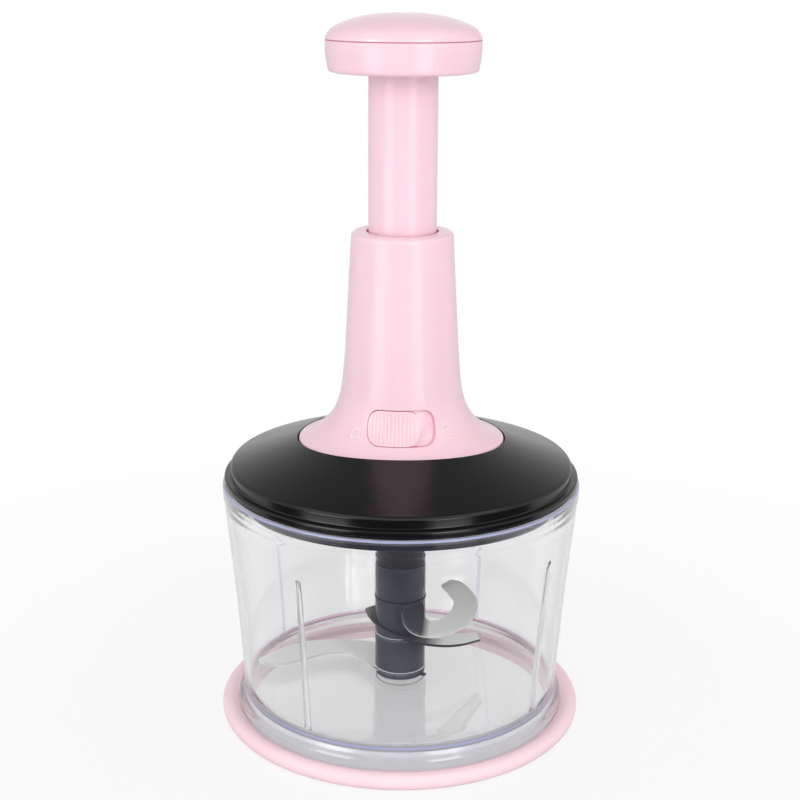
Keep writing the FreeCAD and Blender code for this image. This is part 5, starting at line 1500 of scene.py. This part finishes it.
bm = bmesh.new()
bmesh.ops.create_grid(bm, x_segments=1, y_segments=1, size=FLOOR_SIZE)
floor_mesh = bpy.data.meshes.new("studio_floor")
bm.to_mesh(floor_mesh)
bm.free()
floor_mesh.materials.append(floor_paint())
floor = bpy.data.objects.new("studio_floor", floor_mesh)
bpy.context.scene.collection.objects.link(floor)
print("studio floor in m:", 2 * FLOOR_SIZE)

# %% [markdown]
# ## Surround
# The camera sees white all round. Reflections see dark walls with the two
# windows, a pale strip of ceiling and pale sides, which give the lid and the
# knob their soft lights. A ray that leaves through the bowl sees white behind
# the chopper, and the dark front of the studio the other way.

# %% Surround
WINDOW_HEIGHT = 0.32
CEILING_HEIGHT = 0.72


def surround():
    world = bpy.data.worlds.new("surround")
    bpy.context.scene.world = world
    world.use_nodes = True
    world.node_tree.nodes.clear()
    board = Board(world.node_tree)

    def background(strength):
        return board.node("Background", Color=WHITE, Strength=strength).outputs[0]

    seen, through, mirrored = ray_kinds(board)
    across, depth, height = board.axes(board.node("TexCoord").outputs["Generated"])
    sides = (across * across).clipped() ** 2.0
    overhead = height.clipped() ** 1.5
    studio = 0.08 + 0.9 * sides + 0.15 * overhead + 0.9 * depth.clipped() ** 4.0
    level_reach = (across * across + depth * depth) ** 0.5
    window_band = soft_band(height, WINDOW_HEIGHT, 3, 60.0) * (depth * -SHARP_START).clipped()
    glow = two_windows(across * level_reach ** -1.0) * window_band * 5.0
    ceiling = soft_band(height, CEILING_HEIGHT, 3, 200.0) * (depth * -5).clipped() * 0.9
    shine = background(studio.clipped() + glow + ceiling)
    plain_light = background(1.02 - 0.35 * height.clipped())
    onward = through * (depth * 5 + 0.5).clipped()
    light = board.either((seen + onward).clipped(), board.either(mirrored, plain_light, shine),
                         background(seen + through * 1.12))
    board.node("OutputWorld", Surface=light)


surround()

# %% [markdown]
# ## Lamps
# One big soft lamp stands behind the camera, and a tall strip on each side
# brightens the flanks. None of them shows in reflections, because the windows
# above already give those.

# %% Lamps
AIM = Vector((0, 0, 0.14))
for name, place, width, height, power in (("front_softbox", (0.1, -1.7, 1.05), 1.4, 0.9, 8.5),
                                          ("left_strip", (-0.92, -0.92, 0.45), 0.22, 1.0, 2.6),
                                          ("right_strip", (0.80, -1.02, 0.45), 0.22, 1.0, 2.6)):
    lamp = bpy.data.lights.new(name, "AREA")
    lamp.shape = "RECTANGLE"
    lamp.size = width
    lamp.size_y = height
    lamp.energy = power
    stand = bpy.data.objects.new(name, lamp)
    stand.location = place
    stand.rotation_euler = (AIM - Vector(place)).to_track_quat("-Z", "Y").to_euler()
    stand.visible_glossy = False
    bpy.context.scene.collection.objects.link(stand)
    print(f"{name}: {power} W")

# %% [markdown]
# ## Camera
# The camera stands a little above the chopper and looks down by sixteen
# degrees, with a portrait lens. It is turned by a third of a degree.

# %% Camera
EYE = Vector((-0.00065, -0.61265, 0.31995))
PITCH = math.radians(16.1)
ROLL = math.radians(0.33)
LENS = 66.68
SENSOR = 36
camera_data = bpy.data.cameras.new("portrait_camera")
camera_data.lens = LENS
camera_data.sensor_width = SENSOR
camera = bpy.data.objects.new("portrait_camera", camera_data)
forward = Vector((0, math.cos(PITCH), -math.sin(PITCH)))
level = Vector((1, 0, 0))
upright = level.cross(forward)
right = level * math.cos(ROLL) + upright * math.sin(ROLL)
up = upright * math.cos(ROLL) - level * math.sin(ROLL)
camera.matrix_world = Matrix.Translation(EYE) @ Matrix((right, up, -forward)).transposed().to_4x4()
bpy.context.scene.collection.objects.link(camera)
bpy.context.scene.camera = camera
bpy.context.scene.view_settings.view_transform = "Standard"
